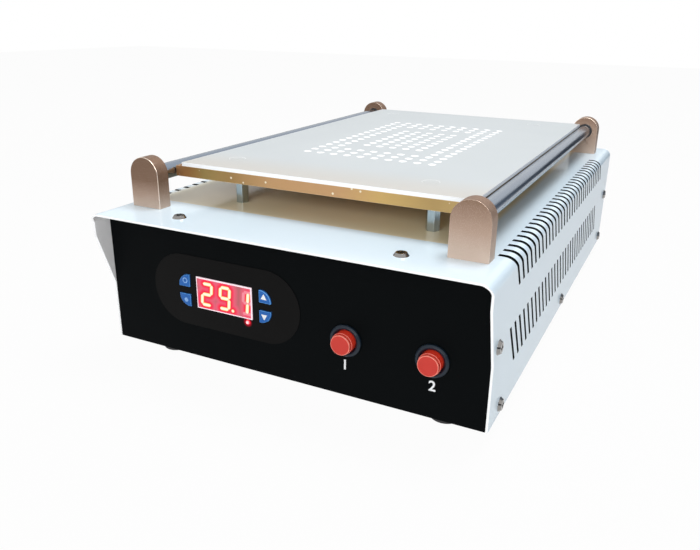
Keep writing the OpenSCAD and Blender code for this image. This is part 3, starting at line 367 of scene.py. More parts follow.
def lining():
    coat = Finish("cover_lining", specular_ior_level=0.1, coat_roughness=0.06)
    depth = coat.along("Y")
    behind_panel = depth.ease(PANEL_PLACE, PANEL_PLACE + PRIMER_FADE)
    inside = behind_panel * (1 - depth.ease(REAR_PLACE - PRIMER_FADE, REAR_PLACE))
    # Near black behind the panels as painted shade, a paler white under the visor as painted light.
    inside_shade = coat.mix(coat.noise(8), (0.006, 0.007, 0.008), (0.009, 0.010, 0.011))
    coat.give("Base Color", coat.mix(inside, (0.95, 0.955, 0.96), inside_shade))
    coat.give("Roughness", 0.5 + 0.1 * coat.noise(3))
    coat.give("Coat Weight", 0.8 * (1 - inside))
    coat.bump(coat.noise(1.3, 1.0), 0.003)
    return coat.material


COVER_LINING = lining()
print("primer from", round(PANEL_PLACE, 1), "to", round(REAR_PLACE, 1), "mm")

# %% [markdown]
# Bare metals differ by how they were worked. Ground bars and turned parts carry fine
# rings round their axis, milled edges and plated screws an even grain. Each could have a
# pattern of its own, but one noise does for all of them: it is stretched across the axis
# where there are rings, and shown in the bump and a little in the roughness.


# %% Metals
def metal(name, tone, rough, grain=0.5, depth=0.004, stretch=(1, 1, 1), metallic=1.0, shade=0.12):
    recipe = Finish(name)
    streak = recipe.noise(grain, 2.0, stretch)
    recipe.give("Base Color", recipe.mix(recipe.noise(30), shaded(tone, shade), tone))
    recipe.give("Metallic", metallic)
    recipe.give("Roughness", rough + 0.12 * (streak - 0.5))
    recipe.bump(streak, depth)
    return recipe.material


RINGS_Y = (0.15, 1, 0.15)
RINGS_X = (6, 1, 1)
RINGS_Z = (1, 1, 6)
PALE = (0.96, 0.97, 0.98)
ROD_CHROME = metal("ground_chrome", (0.27, 0.32, 0.39), 0.23, grain=0.25, depth=0.0006, stretch=RINGS_Y)
POST_EDGE = metal("bright_cut", (0.92, 0.76, 0.64), 0.25, grain=0.3, depth=0.002, shade=0.05)
# Near white on the milled rim and on the countersinks: painted highlights.
PLATE_RIM_HIGHLIGHT = metal("milled_edge_highlight", EDGE, 0.3, grain=0.3, depth=0.002, metallic=0.1, shade=0.03)
COUNTERSINK_HIGHLIGHT = metal("countersink_highlight", PALE, 0.4, grain=0.3, depth=0.001, metallic=0.0, shade=0.02)
NICKEL = metal("nickel_plate", (0.33, 0.32, 0.31), 0.13, grain=0.6, depth=0.002, shade=0.2)
# Near black in the cross of a screw: painted shade.
RECESS_SHADE = metal("recess_painted_shade", (0.02, 0.02, 0.02), 0.5, grain=0.6, depth=0.002, metallic=0.5)
TURNED = metal(
    "turned_steel", (0.36, 0.41, 0.42), 0.14, grain=0.3, depth=0.002, stretch=RINGS_Z, shade=0.06
)
ZINC = metal("zinc_sheet", (0.55, 0.57, 0.58), 0.38, grain=4.0, depth=0.003, shade=0.2)
BRASS = metal("pin_brass", (0.78, 0.62, 0.32), 0.25, grain=0.4, depth=0.002)
STEEL_CAN = metal("motor_can", (0.55, 0.57, 0.60), 0.33, depth=0.003, stretch=RINGS_X)
print("metals:", ROD_CHROME.name, PLATE_RIM_HIGHLIGHT.name, NICKEL.name)

# %% [markdown]
# The posts are blasted and anodised in a champagne tone. The foot of each is painted
# paler, as painted light thrown up from the white cover, and the right pair is paler as
# a whole, as painted light from the right. Four materials could do it, but one ramp over
# the height is enough, run more slowly on the right. Fine noise gives the blasted grain.


# %% Anodised posts
POST_LIT_TONES = [
    (0.00, (0.60, 0.47, 0.385)),
    (0.25, (0.42, 0.295, 0.225)),
    (0.55, (0.205, 0.120, 0.076)),
    (1.00, (0.19, 0.112, 0.071)),
]
RIGHT_LIGHT_BY = 0.48


def anodised():
    recipe = Finish("champagne_anodised", metallic=0.55, specular_ior_level=0.2)
    low, high = (corner.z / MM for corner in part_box("front_left_post"))
    height = (recipe.along("Z") - low) / (high - low) + 0.12 * (recipe.noise(6) - 0.5)
    right_pair = recipe.along("X").ease(-10, 10)
    grain = recipe.noise(0.5, 1.0)
    # Painted light: paler towards the foot of each post and on the right pair.
    lit_tone = recipe.ramp(height * (1 - RIGHT_LIGHT_BY * right_pair), POST_LIT_TONES)
    blasted = recipe.mix(0.22, lit_tone, (0.80, 0.66, 0.56))
    recipe.give("Base Color", recipe.mix(grain.ease(0.45, 0.75), lit_tone, blasted))
    recipe.give("Roughness", 0.42 + 0.2 * grain)
    recipe.bump(grain, 0.01)
    return recipe.material


POST_BODY = anodised()
print("posts:", POST_BODY.name, "with", len(POST_LIT_TONES), "tones")

# %% [markdown]
# The suction plate is blasted aluminium, and towards its front edge it gets a faint warm
# colour that fades over a few centimetres: a painted warm reflection. It could be painted
# on an image, but the place along Y drives it, so it needs no image and stays with the
# plate in every view.


# %% Blasted plate
REFLECTION_REACH = 45


def blasted_plate():
    recipe = Finish("plate_aluminium")
    front = plate_low.y / MM
    # Painted reflection: a warm colour that fades back from the front edge.
    warm_reflection = 1 - recipe.along("Y").ease(front, front + REFLECTION_REACH)
    cloud = recipe.mix(recipe.noise(60), (0.55, 0.595, 0.615), (0.61, 0.65, 0.67))
    recipe.give("Base Color", recipe.mix(0.8 * warm_reflection, cloud, (0.60, 0.57, 0.52)))
    recipe.give("Metallic", 0.3)
    recipe.give("Roughness", 0.36 + 0.1 * recipe.noise(0.4))
    recipe.bump(recipe.noise(0.35), 0.003)
    return recipe.material


PLATE_GREY = blasted_plate()
print("plate finish:", PLATE_GREY.name)

# %% [markdown]
# The tray is steel in a yellow chromate bath. Its film shows interference colours, from
# orange to olive, as its thickness drifts along the strip. A thin-film shader could work
# them out, but a ramp over the place along X lays the same bands down at once. Slow
# noise bends them, and a few pale dots are painted glints.


# %% Gold chromate
CHROMATE_BANDS = [
    (0.00, (0.50, 0.22, 0.08)),
    (0.05, (0.46, 0.23, 0.08)),
    (0.11, (0.38, 0.27, 0.09)),
    (0.22, (0.39, 0.23, 0.08)),
    (0.34, (0.58, 0.33, 0.15)),
    (0.58, (0.60, 0.34, 0.16)),
    (0.72, (0.62, 0.40, 0.14)),
    (0.88, (0.44, 0.29, 0.11)),
    (1.00, (0.56, 0.38, 0.15)),
]
GLINT_PITCH = 6


def chromate():
    recipe = Finish("gold_chromate")
    low, high = tray_low.x / MM, tray_high.x / MM
    across = (recipe.along("X") - low) / (high - low) + 0.06 * (recipe.noise(25) - 0.5)
    banded = recipe.ramp(across, CHROMATE_BANDS)
    cell = recipe.node("TexVoronoi", sockets={"Vector": recipe.place(), "Scale": 1 / (GLINT_PITCH * MM)})
    # Pale dots on a grid of cells: painted glints.
    glint_speck = 1 - cell.ease(0.09, 0.13)
    recipe.give("Base Color", recipe.mix(glint_speck, banded, (0.90, 0.80, 0.60)))
    recipe.give("Metallic", 0.6)
    recipe.give("Roughness", 0.3 + 0.15 * recipe.noise(3))
    recipe.bump(recipe.noise(2), 0.004)
    return recipe.material


CHROMATE = chromate()
# A paler gold on the rounded edges of the tray: a painted highlight.
CHROMATE_HIGHLIGHT = metal("chromate_edge_highlight", (0.85, 0.66, 0.40), 0.3, metallic=0.6, shade=0.2)
print("tray finish:", CHROMATE.name, "with", len(CHROMATE_BANDS), "bands")

# %% [markdown]
# Plastics and rubbers come out of a mould, with its fine grain and a tone that varies
# slightly from flow. A material copied by hand for each would drift apart, so all share
# one recipe, and only tone, roughness and grain are their own.


# %% Moulded pieces of the panel
def moulded(name, tone, rough, grain=0.6, depth=0.004, coat=0.0, drift=0.12, **constants):
    recipe = Finish(name, **constants)
    recipe.give("Base Color", recipe.mix(recipe.noise(12), shaded(tone, drift), tone))
    recipe.give("Roughness", rough + 0.06 * recipe.noise(2))
    recipe.give("Coat Weight", coat)
    recipe.bump(recipe.noise(grain), depth)
    return recipe.material


SATIN = {"specular_ior_level": 0.35}
COLLAR_BLACK = moulded("collar_gloss", (0.006, 0.014, 0.026), 0.3, depth=0.001, **SATIN)
CAP_RED = moulded("cap_red", (0.58, 0.038, 0.026), 0.35, depth=0.002, **SATIN)
# A brighter red on the side as painted light, a paler one on the edge as a painted highlight.
CAP_SIDE_LIT = moulded("cap_side", (1.0, 0.055, 0.025), 0.25, depth=0.001)
CAP_EDGE_HIGHLIGHT = moulded("cap_edge", (0.95, 0.24, 0.18), 0.3, depth=0.001)
KEY_BLUE = moulded("key_blue", (0.020, 0.125, 0.43), 0.4, depth=0.002, specular_ior_level=0.22)
# A lighter blue on the rounded rim of a key: a painted highlight.
KEY_RIM_HIGHLIGHT = moulded("key_rim_highlight", (0.11, 0.38, 0.86), 0.35, depth=0.001)
PRINT_WHITE = moulded("white_print", (0.86, 0.88, 0.90), 0.5)
PRINT_PALE = moulded("pale_print", (0.22, 0.42, 0.78), 0.5)
FRAME_GLOW = {"emission_color": (0.9, 0.68, 0.76), "emission_strength": 0.3}
DISPLAY_CASE = moulded("display_case", (0.90, 0.78, 0.83), 0.35, **FRAME_GLOW)
print("panel plastics:", CAP_RED.name, KEY_BLUE.name)

# %% [markdown]
# The same recipe serves what sits lower down or inside: feet, hose, felt, boards and the
# supply. Most of it never shows and could stay grey, but then an open case would reveal
# dummies instead of parts.

# %% Plastics and rubbers inside
RUBBER = moulded("black_rubber", (0.02, 0.02, 0.021), 0.62, grain=0.8, depth=0.01)
NYLON_BLACK = moulded("black_nylon", (0.03, 0.03, 0.032), 0.45)
NYLON_WHITE = moulded("white_nylon", (0.78, 0.78, 0.74), 0.4)
BOARD = moulded("board_green", (0.02, 0.16, 0.06), 0.3, grain=3.0, depth=0.01, coat=0.4, drift=0.3)
FELT = moulded("pressed_felt", (0.78, 0.75, 0.68), 0.9, grain=0.5, depth=0.15)
HEATER = moulded("heater_silicone", (0.62, 0.16, 0.06), 0.55, grain=1.0, depth=0.03)
HOSE = moulded("silicone_hose", (0.72, 0.74, 0.74), 0.35)
LEADS = moulded("lead_sleeve", (0.72, 0.70, 0.64), 0.6, grain=0.4, depth=0.05)
PUMP = moulded("pump_black", (0.035, 0.037, 0.040), 0.4, grain=0.8, depth=0.02)
IVORY = moulded("ivory_plastic", (0.76, 0.74, 0.66), 0.45)
CORE = moulded("lamination_stack", (0.12, 0.10, 0.075), 0.5, grain=0.5, depth=0.05)
RELAY = moulded("relay_blue", (0.02, 0.08, 0.36), 0.28)
TERMINAL = moulded("terminal_green", (0.03, 0.26, 0.09), 0.4)
SOCKET = moulded("socket_black", (0.018, 0.018, 0.020), 0.42, grain=0.7, depth=0.012)
ROCKER = moulded("rocker_black", (0.020, 0.020, 0.023), 0.22, grain=0.7, coat=0.3)
print("inside plastics:", RUBBER.name, BOARD.name)

# %% [markdown]
# The display glows. Light from each lit bar spreads into the red window round it, first
# deep red, then pink, then the dull tone of the filter. Lamps behind a scattering sheet
# could do it, but are slow and noisy. The shader can measure the distance to the nearest
# bar instead. For that it needs the line along the middle of each bar, which is read
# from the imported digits: their mesh falls into separate bars.


# %% Separate parts of a mesh
WELD = 0.002 * MM


def part_from(start, seen):
    """The places of all vertices that edges join to one vertex."""
    seen.add(start)
    part = []
    waiting = [start]
    while waiting:
        vert = waiting.pop()
        part.append(vert.co.copy())
        for edge in vert.link_edges:
            other = edge.other_vert(vert)
            if other not in seen:
                seen.add(other)
                waiting.append(other)
    return part


def separate_parts(mesh):
    """The places of the vertices of each separate part of a mesh."""
    work = bmesh.new()
    work.from_mesh(mesh)
    bmesh.ops.remove_doubles(work, verts=work.verts, dist=WELD)
    seen = set()
    parts = [part_from(vert, seen) for vert in work.verts if vert not in seen]
    work.free()
    return parts


digit_parts = separate_parts(nodes["display_digits"].data)
print("parts of the digits:", len(digit_parts))

# %% [markdown]
# The two points of a bar that lie furthest apart are its tips. The line starts half a
# bar's width inside them, so that the glow is round at both ends. The point of the
# reading is as wide as it is long, so there the line shrinks to almost nothing.

# %% Lines of the lit bars
BAR_HALF = 1.0 * MM
DOT_SPAN = 3.0 * MM
DOT_TRIM = 0.45


def middle_line(part):
    """The two ends of the line along the middle of a bar, seen from the front."""
    flat = [Vector((place.x, 0, place.z)) for place in part]
    pairs = [(a, b) for a in flat for b in flat]
    first, last = max(pairs, key=lambda pair: (pair[0] - pair[1]).length)
    run = last - first
    trim = BAR_HALF if run.length > DOT_SPAN else DOT_TRIM * run.length
    step = run.normalized() * trim
    return first + step, last - step


bars = sorted((middle_line(part) for part in digit_parts), key=lambda bar: bar[0].x)
print("lit bars:", len(bars))

# %% [markdown]
# The distance to a line is a foot point held between the two ends and the length of the
# gap to it, all in Vector Math. The last digit also shows its unlit bars faintly. They
# could be meshes of their own, but they are flush with the window, so the lines of the
# digit before it, moved on by one place, stand for them.


# %% Distance from the bars
def bar_distance(graph, lines):
    """How far the surface is from the nearest of some lines, in millimetres."""
    spot = graph.vector("MULTIPLY", graph.place(), (1, 0, 1))
    nearest = None
    for start, end in lines:
        run = end - start
        ahead = graph.vector("SUBTRACT", spot, tuple(start))
        share = graph.vector("DOT_PRODUCT", ahead, tuple(run), out=1) / run.length_squared
        held = graph.node("Clamp", sockets={0: share})
        foot = graph.node("VectorMath", {"operation": "SCALE"}, {0: tuple(run), "Scale": held})
        gap = graph.vector("SUBTRACT", ahead, foot)
        reach = graph.node("VectorMath", {"operation": "LENGTH"}, {0: gap}, out=1)
        nearest = reach if nearest is None else nearest.least(reach)
    return nearest / MM


pitch = Vector(((bars[-1][0].x - bars[0][0].x) / 2, 0, 0))
ghost_bars = [(start + pitch, end + pitch) for start, end in bars[5:11]]
print("digit pitch:", round(pitch.x / MM, 2), "mm, unlit bars:", len(ghost_bars))

# %% [markdown]
# A ramp turns the distance into the colour that shines. One ramp runs from a bar into
# the window, the other across the bar itself, from a nearly white middle to an orange
# rim. A compositor's glow would do it for one camera only, this holds from every side.


# %% Glow of the display
WINDOW_STOPS = [
    (0.0, (1.0, 0.55, 0.35)),
    (1.0, (1.0, 0.05, 0.06)),
    (1.5, (1.0, 0.0, 0.05)),
    (2.2, (0.98, 0.04, 0.11)),
    (3.4, (0.86, 0.12, 0.20)),
    (6.0, (0.50, 0.13, 0.15)),
]
BAR_STOPS = [
    (0.0, (1.0, 1.0, 0.86)),
    (0.55, (1.0, 0.98, 0.72)),
    (0.8, (1.0, 0.86, 0.30)),
    (1.1, (1.0, 0.40, 0.08)),
]
GLASS = {"base_color": (0.03, 0.008, 0.01), "roughness": 0.25, "specular_ior_level": 0.08}


def glowing(name, stops, ghosts=()):
    """A lit piece whose colour follows the distance from the bars, in millimetres."""
    recipe = Finish(name, emission_strength=1.0, **GLASS)
    span = stops[-1][0]
    shine = recipe.ramp(bar_distance(recipe, bars) / span, [(far / span, tone) for far, tone in stops])
    if ghosts:
        faint = 0.8 * (1 - bar_distance(recipe, ghosts).ease(0.6, 1.2))
        shine = recipe.mix(faint, shine, (1.0, 0.35, 0.43))
        shine = recipe.mix(0.25 * recipe.noise(5), shine, (0.40, 0.12, 0.12))
    recipe.give("Emission Color", shine)
    recipe.bump(recipe.noise(0.8), 0.001)
    return recipe.material


WINDOW = glowing("display_window", WINDOW_STOPS, ghost_bars)
LIT_BAR = glowing("lit_bar", BAR_STOPS)
print("glow:", WINDOW.name, LIT_BAR.name)

# %% [markdown]
# The small lamp under the display is a dome with a bright heart, and it tints the film
# round it. A point lamp could throw that light, but so small a one leaves speckles. Both
# materials measure the distance from the lamp's axis instead.

# %% Lamp under the display
lamp_low, lamp_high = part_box("indicator_led")
LAMP_AXIS = (lamp_low + lamp_high) / 2
LAMP_RADIUS = (lamp_high.x - lamp_low.x) / 2 / MM
HEART_STOPS = [
    (0.0, (1.0, 0.93, 0.93)),
    (0.45, (1.0, 0.72, 0.74)),
    (0.75, (1.0, 0.06, 0.09)),
    (1.0, (0.75, 0.0, 0.02)),
]


def lamp_distance(graph):
    """How far the surface is from the lamp's axis, in millimetres."""
    spot = graph.vector("MULTIPLY", graph.place(), (1, 0, 1))
    gap = graph.vector("SUBTRACT", spot, (LAMP_AXIS.x, 0, LAMP_AXIS.z))
    return graph.node("VectorMath", {"operation": "LENGTH"}, {0: gap}, out=1) / MM


def lit_lens():
    recipe = Finish("lit_lens", emission_strength=1.0, base_color=(0.5, 0.02, 0.02), roughness=0.15)
    recipe.give("Emission Color", recipe.ramp(lamp_distance(recipe) / LAMP_RADIUS, HEART_STOPS))
    recipe.bump(recipe.noise(0.5), 0.001)
    return recipe.material


LENS = lit_lens()
print("lamp radius:", round(LAMP_RADIUS, 2), "mm")

# %% [markdown]
# The film round the display and the keys is printed polyester, almost black. From afar a
# plain black would do, but close by it shows a very fine grain and the red halo of the
# lamp. The halo starts under the rim of the lamp, so that no dark gap shows.

# %% Film and halo
HALO_START = 0.8
HALO_REACH = 1.8


def overlay_film():
    recipe = Finish("overlay_film", emission_strength=1.0, specular_ior_level=0.06)
    tone = recipe.mix(recipe.noise(30), (0.0034, 0.0033, 0.0033), (0.0052, 0.0050, 0.0050))
    recipe.give("Base Color", tone)
    recipe.give("Roughness", 0.42 + 0.06 * recipe.noise(2))
    halo = 1 - lamp_distance(recipe).ease(LAMP_RADIUS * HALO_START, LAMP_RADIUS + HALO_REACH)
    recipe.give("Emission Color", recipe.mix(halo ** 1.5, (0, 0, 0), (0.55, 0.0, 0.02)))
    recipe.bump(recipe.noise(0.5), 0.004)
    return recipe.material


OVERLAY = overlay_film()
print("film:", OVERLAY.name)

# %% [markdown]
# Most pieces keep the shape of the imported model, but no real edge is perfectly sharp.
# They could be modelled anew, with round edges from the start, but a copy of the node is
# sure to have the right size. A helper joins its split corners, clears the flat
# triangles, and marks each sharp edge. A chooser may paint single faces, and another may
# ask for less rounding on some edges.

# %% Clean copy of a node
SHARP = math.radians(32)
FLAT = math.radians(0.6)


def clean_copy(node, finishes, paint, share):
    """A mesh like a node's own, with marked edges and painted faces."""
    work = bmesh.new()
    work.from_mesh(nodes[node].data)
    bmesh.ops.remove_doubles(work, verts=work.verts, dist=WELD)
    bmesh.ops.dissolve_limit(work, angle_limit=FLAT, verts=work.verts, edges=work.edges)
    work.normal_update()
    for face in work.faces:
        face.material_index = paint(face) if paint else 0
    weight = work.edges.layers.float.new("bevel_weight_edge")
    for line in work.edges:
        sharp = len(line.link_faces) == 2 and line.calc_face_angle() > SHARP
        line[weight] = (share(line) if share else 1) if sharp else 0
    mesh = bpy.data.meshes.new(node + "_rounded")
    work.to_mesh(mesh)
    work.free()
    for finish in finishes:
        mesh.materials.append(finish)
    return mesh


print("edges sharper than", round(math.degrees(SHARP)), "degrees are rounded")

# %% [markdown]
# A Bevel modifier then rounds the marked edges. Rounding the mesh itself would work too,
# but the modifier keeps the width as one number and may give the new faces a finish of
# their own, such as the bright cut on the corners of the posts.


# %% Rounded copy of a node
def rounded(node, finishes, slot, width, segments=2, edge=-1, paint=None, smooth=True, share=None):
    """A copy of a node whose edges are rounded by width millimetres."""
    mesh = clean_copy(node, finishes, paint, share)
    mesh.polygons.foreach_set("use_smooth", [smooth] * len(mesh.polygons))
    if smooth:
        mesh.set_sharp_from_angle(angle=SHARP)
    piece = placed(node + "_rounded", mesh)
    bevel = piece.modifiers.new("round", "BEVEL")
    bevel.width = width * MM
    bevel.segments = segments
    bevel.limit_method = "WEIGHT"
    bevel.material = edge
    bevel.harden_normals = smooth
    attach(piece, nodes[node]["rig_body"])
    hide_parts(node)
    return piece


print("rounding helper ready")

# %% [markdown]
# The cover is one bent sheet, white outside and painted near black inside as painted
# shade, which is why its vents look black. Two sheets could be laid back to back, but one
# mesh with painted faces keeps the real thickness. Outward is up on the top, sideways on
# the sides and fans out round the bend. A face that looks the other way is inside. The
# punched walls of the vents look neither way and take the same painted shade, and the
# front edge of the sheet gets a paler white as a painted highlight.

# %% Faces of the cover
case_low, case_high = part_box("cover")
BEND = 6 * MM
HEM = 3 * MM
EDGE_REACH = 1
VENT_MARGIN = 3
FORWARD = -0.8
INWARD = -0.6
OUTWARD = 0.4


def cover_face(face):
    """2 for punched or inner faces (the lining), 1 for the front edge of the sheet (a painted highlight),
    else 0.
    """
    middle = face.calc_center_median()
    aside = max(abs(middle.x) - (case_high.x - BEND), 0)
    above = max(middle.z - (case_high.z - BEND), 0)
    outward = Vector((math.copysign(aside, middle.x), 0, above)).normalized()
    facing = face.normal.dot(outward)
    if face.normal.y < FORWARD and middle.y < (PANEL_PLACE + EDGE_REACH) * MM:
        return 1
    between = (PANEL_PLACE + VENT_MARGIN) * MM < middle.y < case_high.y - HEM
    punched = between and middle.z > case_low.z + HEM and facing < OUTWARD
    return 2 if facing < INWARD or punched else 0


def cover_round(line):
    """The vents were punched, so their edges are nearly sharp."""
    return 0.1 if any(face.material_index == 2 for face in line.link_faces) else 1


print("front edge of the cover at", round(case_low.y / MM, 1), "mm")

# %% [markdown]
# The rest of the case is sheet too: the black panel under the visor, the white one at
# the back, and a zinc plated tray that closes the bottom and stands on rubber feet. They
# could be joined, since nothing moves between them, but a bench machine comes apart. All
# are cut from the same gauge, so they share one small rounding.

# %% Case
SHEET_ROUND = 0.25
COVER_CUT = {"width": SHEET_ROUND, "segments": 3, "edge": 1}
COVER_FINISHES = [COVER_COAT, WHITE_HIGHLIGHT, COVER_LINING]
rounded("cover", COVER_FINISHES, "white_coat", paint=cover_face, share=cover_round, **COVER_CUT)
rounded("front_panel", [BLACK_COAT], "black_coat", SHEET_ROUND)
rounded("rear_panel", [WHITE_COAT], "white_coat", SHEET_ROUND)
rounded("base_tray", [ZINC], "zinc_plate", SHEET_ROUND)
rounded("feet", [RUBBER], "black_rubber", width=0.8, segments=3)
print("case sheets rounded by", SHEET_ROUND, "mm")

# %% [markdown]
# The screws are nickel plated pan heads. Their crosses are painted near black as painted
# shade in the recess. A dark decal could stand for them, but the imported screws have real
# crosses, so the faces near the axis that look sideways, or lie deep, go dark. All screws
# are one node, so each face first finds the screw that it belongs to.

# %% Case screws
screw_parts = separate_parts(nodes["case_screws"].data)
screw_middles = [sum(part, Vector()) / len(part) for part in screw_parts]
SIDE_STRIP = 12 * MM
RECESS_REACH = 2.3 * MM
RECESS_DEPTH = 0.8 * MM
HEAD_SKIN = 0.02 * MM
HEAD_HIGH = 2 * MM
SIDEWAYS = 0.3


def screw_face(face):
    """1 for the cross of a screw, painted dark as shade, 0 for its plated head and shank."""
    middle = face.calc_center_median()
    number = min(range(len(screw_parts)), key=lambda i: (screw_middles[i] - middle).length)
    centre = screw_middles[number]
    on_side = abs(centre.x) > case_high.x - SIDE_STRIP
    axis = Vector((math.copysign(1, centre.x), 0, 0)) if on_side else Vector((0, 0, 1))
    top = max(place.dot(axis) for place in screw_parts[number])
    deep = top - middle.dot(axis)
    aside = (middle - centre) - axis * (middle - centre).dot(axis)
    near = aside.length < RECESS_REACH and HEAD_SKIN < deep < HEAD_HIGH
    return 1 if near and (face.normal.dot(axis) < SIDEWAYS or deep > RECESS_DEPTH) else 0


rounded("case_screws", [NICKEL, RECESS_SHADE], "screw_steel", width=0.12, paint=screw_face)
print("screws:", len(screw_parts))

# %% [markdown]
# The posts were blasted, anodised and then cut bright along their corners. A rounded
# corner would spread the highlight, so they get a flat chamfer with the bright finish.
# The bars between them are ground and chromed, with a soft edge at both ends.

# %% Posts and bars
for corner in ("front_left", "front_right", "rear_left", "rear_right"):
    rounded(corner + "_post", [POST_BODY, POST_EDGE], "champagne_anodised", width=0.45, segments=1, edge=1)
for side in ("left", "right"):
    rounded(side + "_roller", [ROD_CHROME], "chromed_rod", width=0.3)
print("posts and bars made")

# %% [markdown]
# The plate is blasted on top, milled round its rim and countersunk at each hole. The rim
# and the cones of the countersinks are painted near white as painted highlights. Three
# pieces could meet there, but the faces can be told apart: those of the rim lie on the
# plate's box, and only the cones of the countersinks lean.

# %% Suction plate
NEAR = 0.05 * MM
UPRIGHT = 0.1
LEVEL = 0.95


def plate_face(face):
    """1 for the milled rim, 2 for the cone of a countersink, 0 for the rest."""
    middle = face.calc_center_median()
    from_low = min(middle.x - plate_low.x, middle.y - plate_low.y)
    from_high = min(plate_high.x - middle.x, plate_high.y - middle.y)
    if min(from_low, from_high) < NEAR:
        return 1
    return 2 if UPRIGHT < face.normal.z < LEVEL else 0


def plate_round(line):
    """The rim has a wide chamfer, the holes a narrow one."""
    return 1 if any(face.material_index == 1 for face in line.link_faces) else 0.4


PLATE_CUT = {"width": 0.5, "segments": 1, "edge": 1, "smooth": False}
PLATE_FINISHES = [PLATE_GREY, PLATE_RIM_HIGHLIGHT, COUNTERSINK_HIGHLIGHT]
rounded(
    "suction_plate", PLATE_FINISHES, "plate_aluminium", paint=plate_face, share=plate_round, **PLATE_CUT
)
rounded("plate_screws", [PLATE_GREY], "plate_aluminium", width=0.08, segments=1)
print("plate:", size_of("suction_plate"), "mm")

# %% [markdown]
# The plate lies in a folded tray, whose rounded edges are painted a paler gold as a
# painted highlight, and the tray stands on hexagon pillars of bright steel. At this size
# their edges could stay sharp, but a small rounding catches the light as the real ones do.

# %% Tray and pillars
rounded("plate_tray", [CHROMATE, CHROMATE_HIGHLIGHT], "gold_chromate", width=0.3, edge=1)
rounded("pillars", [TURNED], "turned_steel", width=0.3, segments=1)
print("tray:", size_of("plate_tray"), "mm")

# %% [markdown]
# The panel has two push buttons in glossy collars. The face of a cap is dull from
# fingers and its side still has the gloss of the mould. The side is also painted a
# brighter red as painted light, and the edge between them a paler red as a painted
# highlight. With one red, all that would hang on where the lamp stands, so a cap takes
# three.

# %% Push buttons
PRESSED = -0.7


def cap_face(face):
    """0 for the face that is pressed, 2 for the side of a cap."""
    return 0 if face.normal.y < PRESSED else 2


CAP_FINISHES = [CAP_RED, CAP_EDGE_HIGHLIGHT, CAP_SIDE_LIT]
for side in ("left", "right"):
    rounded(side + "_button_housing", [COLLAR_BLACK], "collar_black", width=0.4, segments=3)
    rounded(side + "_button_cap", CAP_FINISHES, "cap_red", width=0.5, segments=3, edge=1, paint=cap_face)
print("push buttons made")

# %% [markdown]
# Beside them sits the temperature controller: a film with a display and four blue keys.
# The rim of each key is painted a lighter blue, a painted highlight. A second piece could
# make it, but the new faces that the rounding adds lie just there and can take the lighter
# blue.

# %% Controller
KEYS = ("set_key", "enter_key", "up_key", "down_key")
for key in KEYS:
    rounded(key, [KEY_BLUE, KEY_RIM_HIGHLIGHT], "key_blue", width=0.35, edge=1)
rounded("controller_overlay", [OVERLAY], "overlay_film", width=0.08, segments=1)
rounded("display_module", [DISPLAY_CASE], "display_case", width=0.2)
print("keys:", len(KEYS))

# %% [markdown]
# Signs are printed. An image on the piece could carry them, but a flat mesh a few
# hundredths of a millimetre thick stays crisp from close by. A helper takes an outline,
# in millimetres, and the directions that are right and up on the surface. A second
# outline inside the first one leaves a hole.

# %% Printed signs
PRINT_THICK = 0.03 * MM
PRINT_GAP = 0.01 * MM


def ring_of(radius, count=40):
    turns = [2 * math.pi * i / count for i in range(count)]
    return [(radius * math.cos(turn), radius * math.sin(turn)) for turn in turns]


def printed(name, outer, centre, right, up, body, finish, inner=None):
    """A printed sign with its middle at centre, riding on a body."""
    outward = right.cross(up)
    work = bmesh.new()
    loops = []
    for level in (PRINT_GAP, PRINT_GAP + PRINT_THICK):
        for outline in (outer, inner or []):
            places = [centre + (right * x + up * y) * MM + outward * level for x, y in outline]
            loops.append([work.verts.new(place) for place in places])
    low_out, low_in, high_out, high_in = loops
    for i in range(len(outer)):
        j = (i + 1) % len(outer)
        work.faces.new((low_out[i], low_out[j], high_out[j], high_out[i]))
        if inner:
            work.faces.new((low_in[j], low_in[i], high_in[i], high_in[j]))
            work.faces.new((high_out[i], high_out[j], high_in[j], high_in[i]))
            work.faces.new((low_out[j], low_out[i], low_in[i], low_in[j]))
    if not inner:
        work.faces.new(high_out)
        work.faces.new(low_out[::-1])
    mesh = bpy.data.meshes.new(name)
    work.to_mesh(mesh)
    work.free()
    mesh.materials.append(finish)
    sign = placed(name, mesh)
    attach(sign, body)
    return sign


print("print thickness:", round(PRINT_THICK / MM, 2), "mm")

# %% [markdown]
# The right keys carry triangles, the left ones a ring and a dot. Each sign sits in the
# middle of its key, a little towards the straight side, and rides on the body of the
# key, so that it goes in with it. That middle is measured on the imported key.

# %% Signs on the keys
RIGHT = Vector((1, 0, 0))
UP = Vector((0, 0, 1))
INWARDS = Vector((-0.6, 0, 0)) * MM


def key_middle(key):
    """The middle of a key's front face."""
    front = [vert.co for vert in nodes[key].data.vertices if vert.co.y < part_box(key)[0].y + NEAR]
    low = Vector([min(place[i] for place in front) for i in range(3)])
    high = Vector([max(place[i] for place in front) for i in range(3)])
    return (low + high) / 2


TRIANGLE = [(-1.9, -1.5), (1.9, -1.5), (0.0, 1.8)]
TRIANGLE_DOWN = [(-x, -y) for x, y in TRIANGLE]
WIDE_RING = ring_of(1.7)
RING_HOLE = ring_of(1.1)
DOT = ring_of(1.3)
KEY_SIGNS = [
    ("up_mark", "up_key", TRIANGLE, None, INWARDS, PRINT_WHITE),
    ("down_mark", "down_key", TRIANGLE_DOWN, None, INWARDS, PRINT_WHITE),
    ("set_mark", "set_key", WIDE_RING, RING_HOLE, -INWARDS, PRINT_PALE),
    ("enter_mark", "enter_key", DOT, None, -INWARDS, PRINT_PALE),
]
for name, key, outline, hole, aside, finish in KEY_SIGNS:
    printed(name, outline, key_middle(key) + aside, RIGHT, UP, key, finish, hole)
print("up key at", [round(v / MM, 1) for v in key_middle("up_key")], "mm")

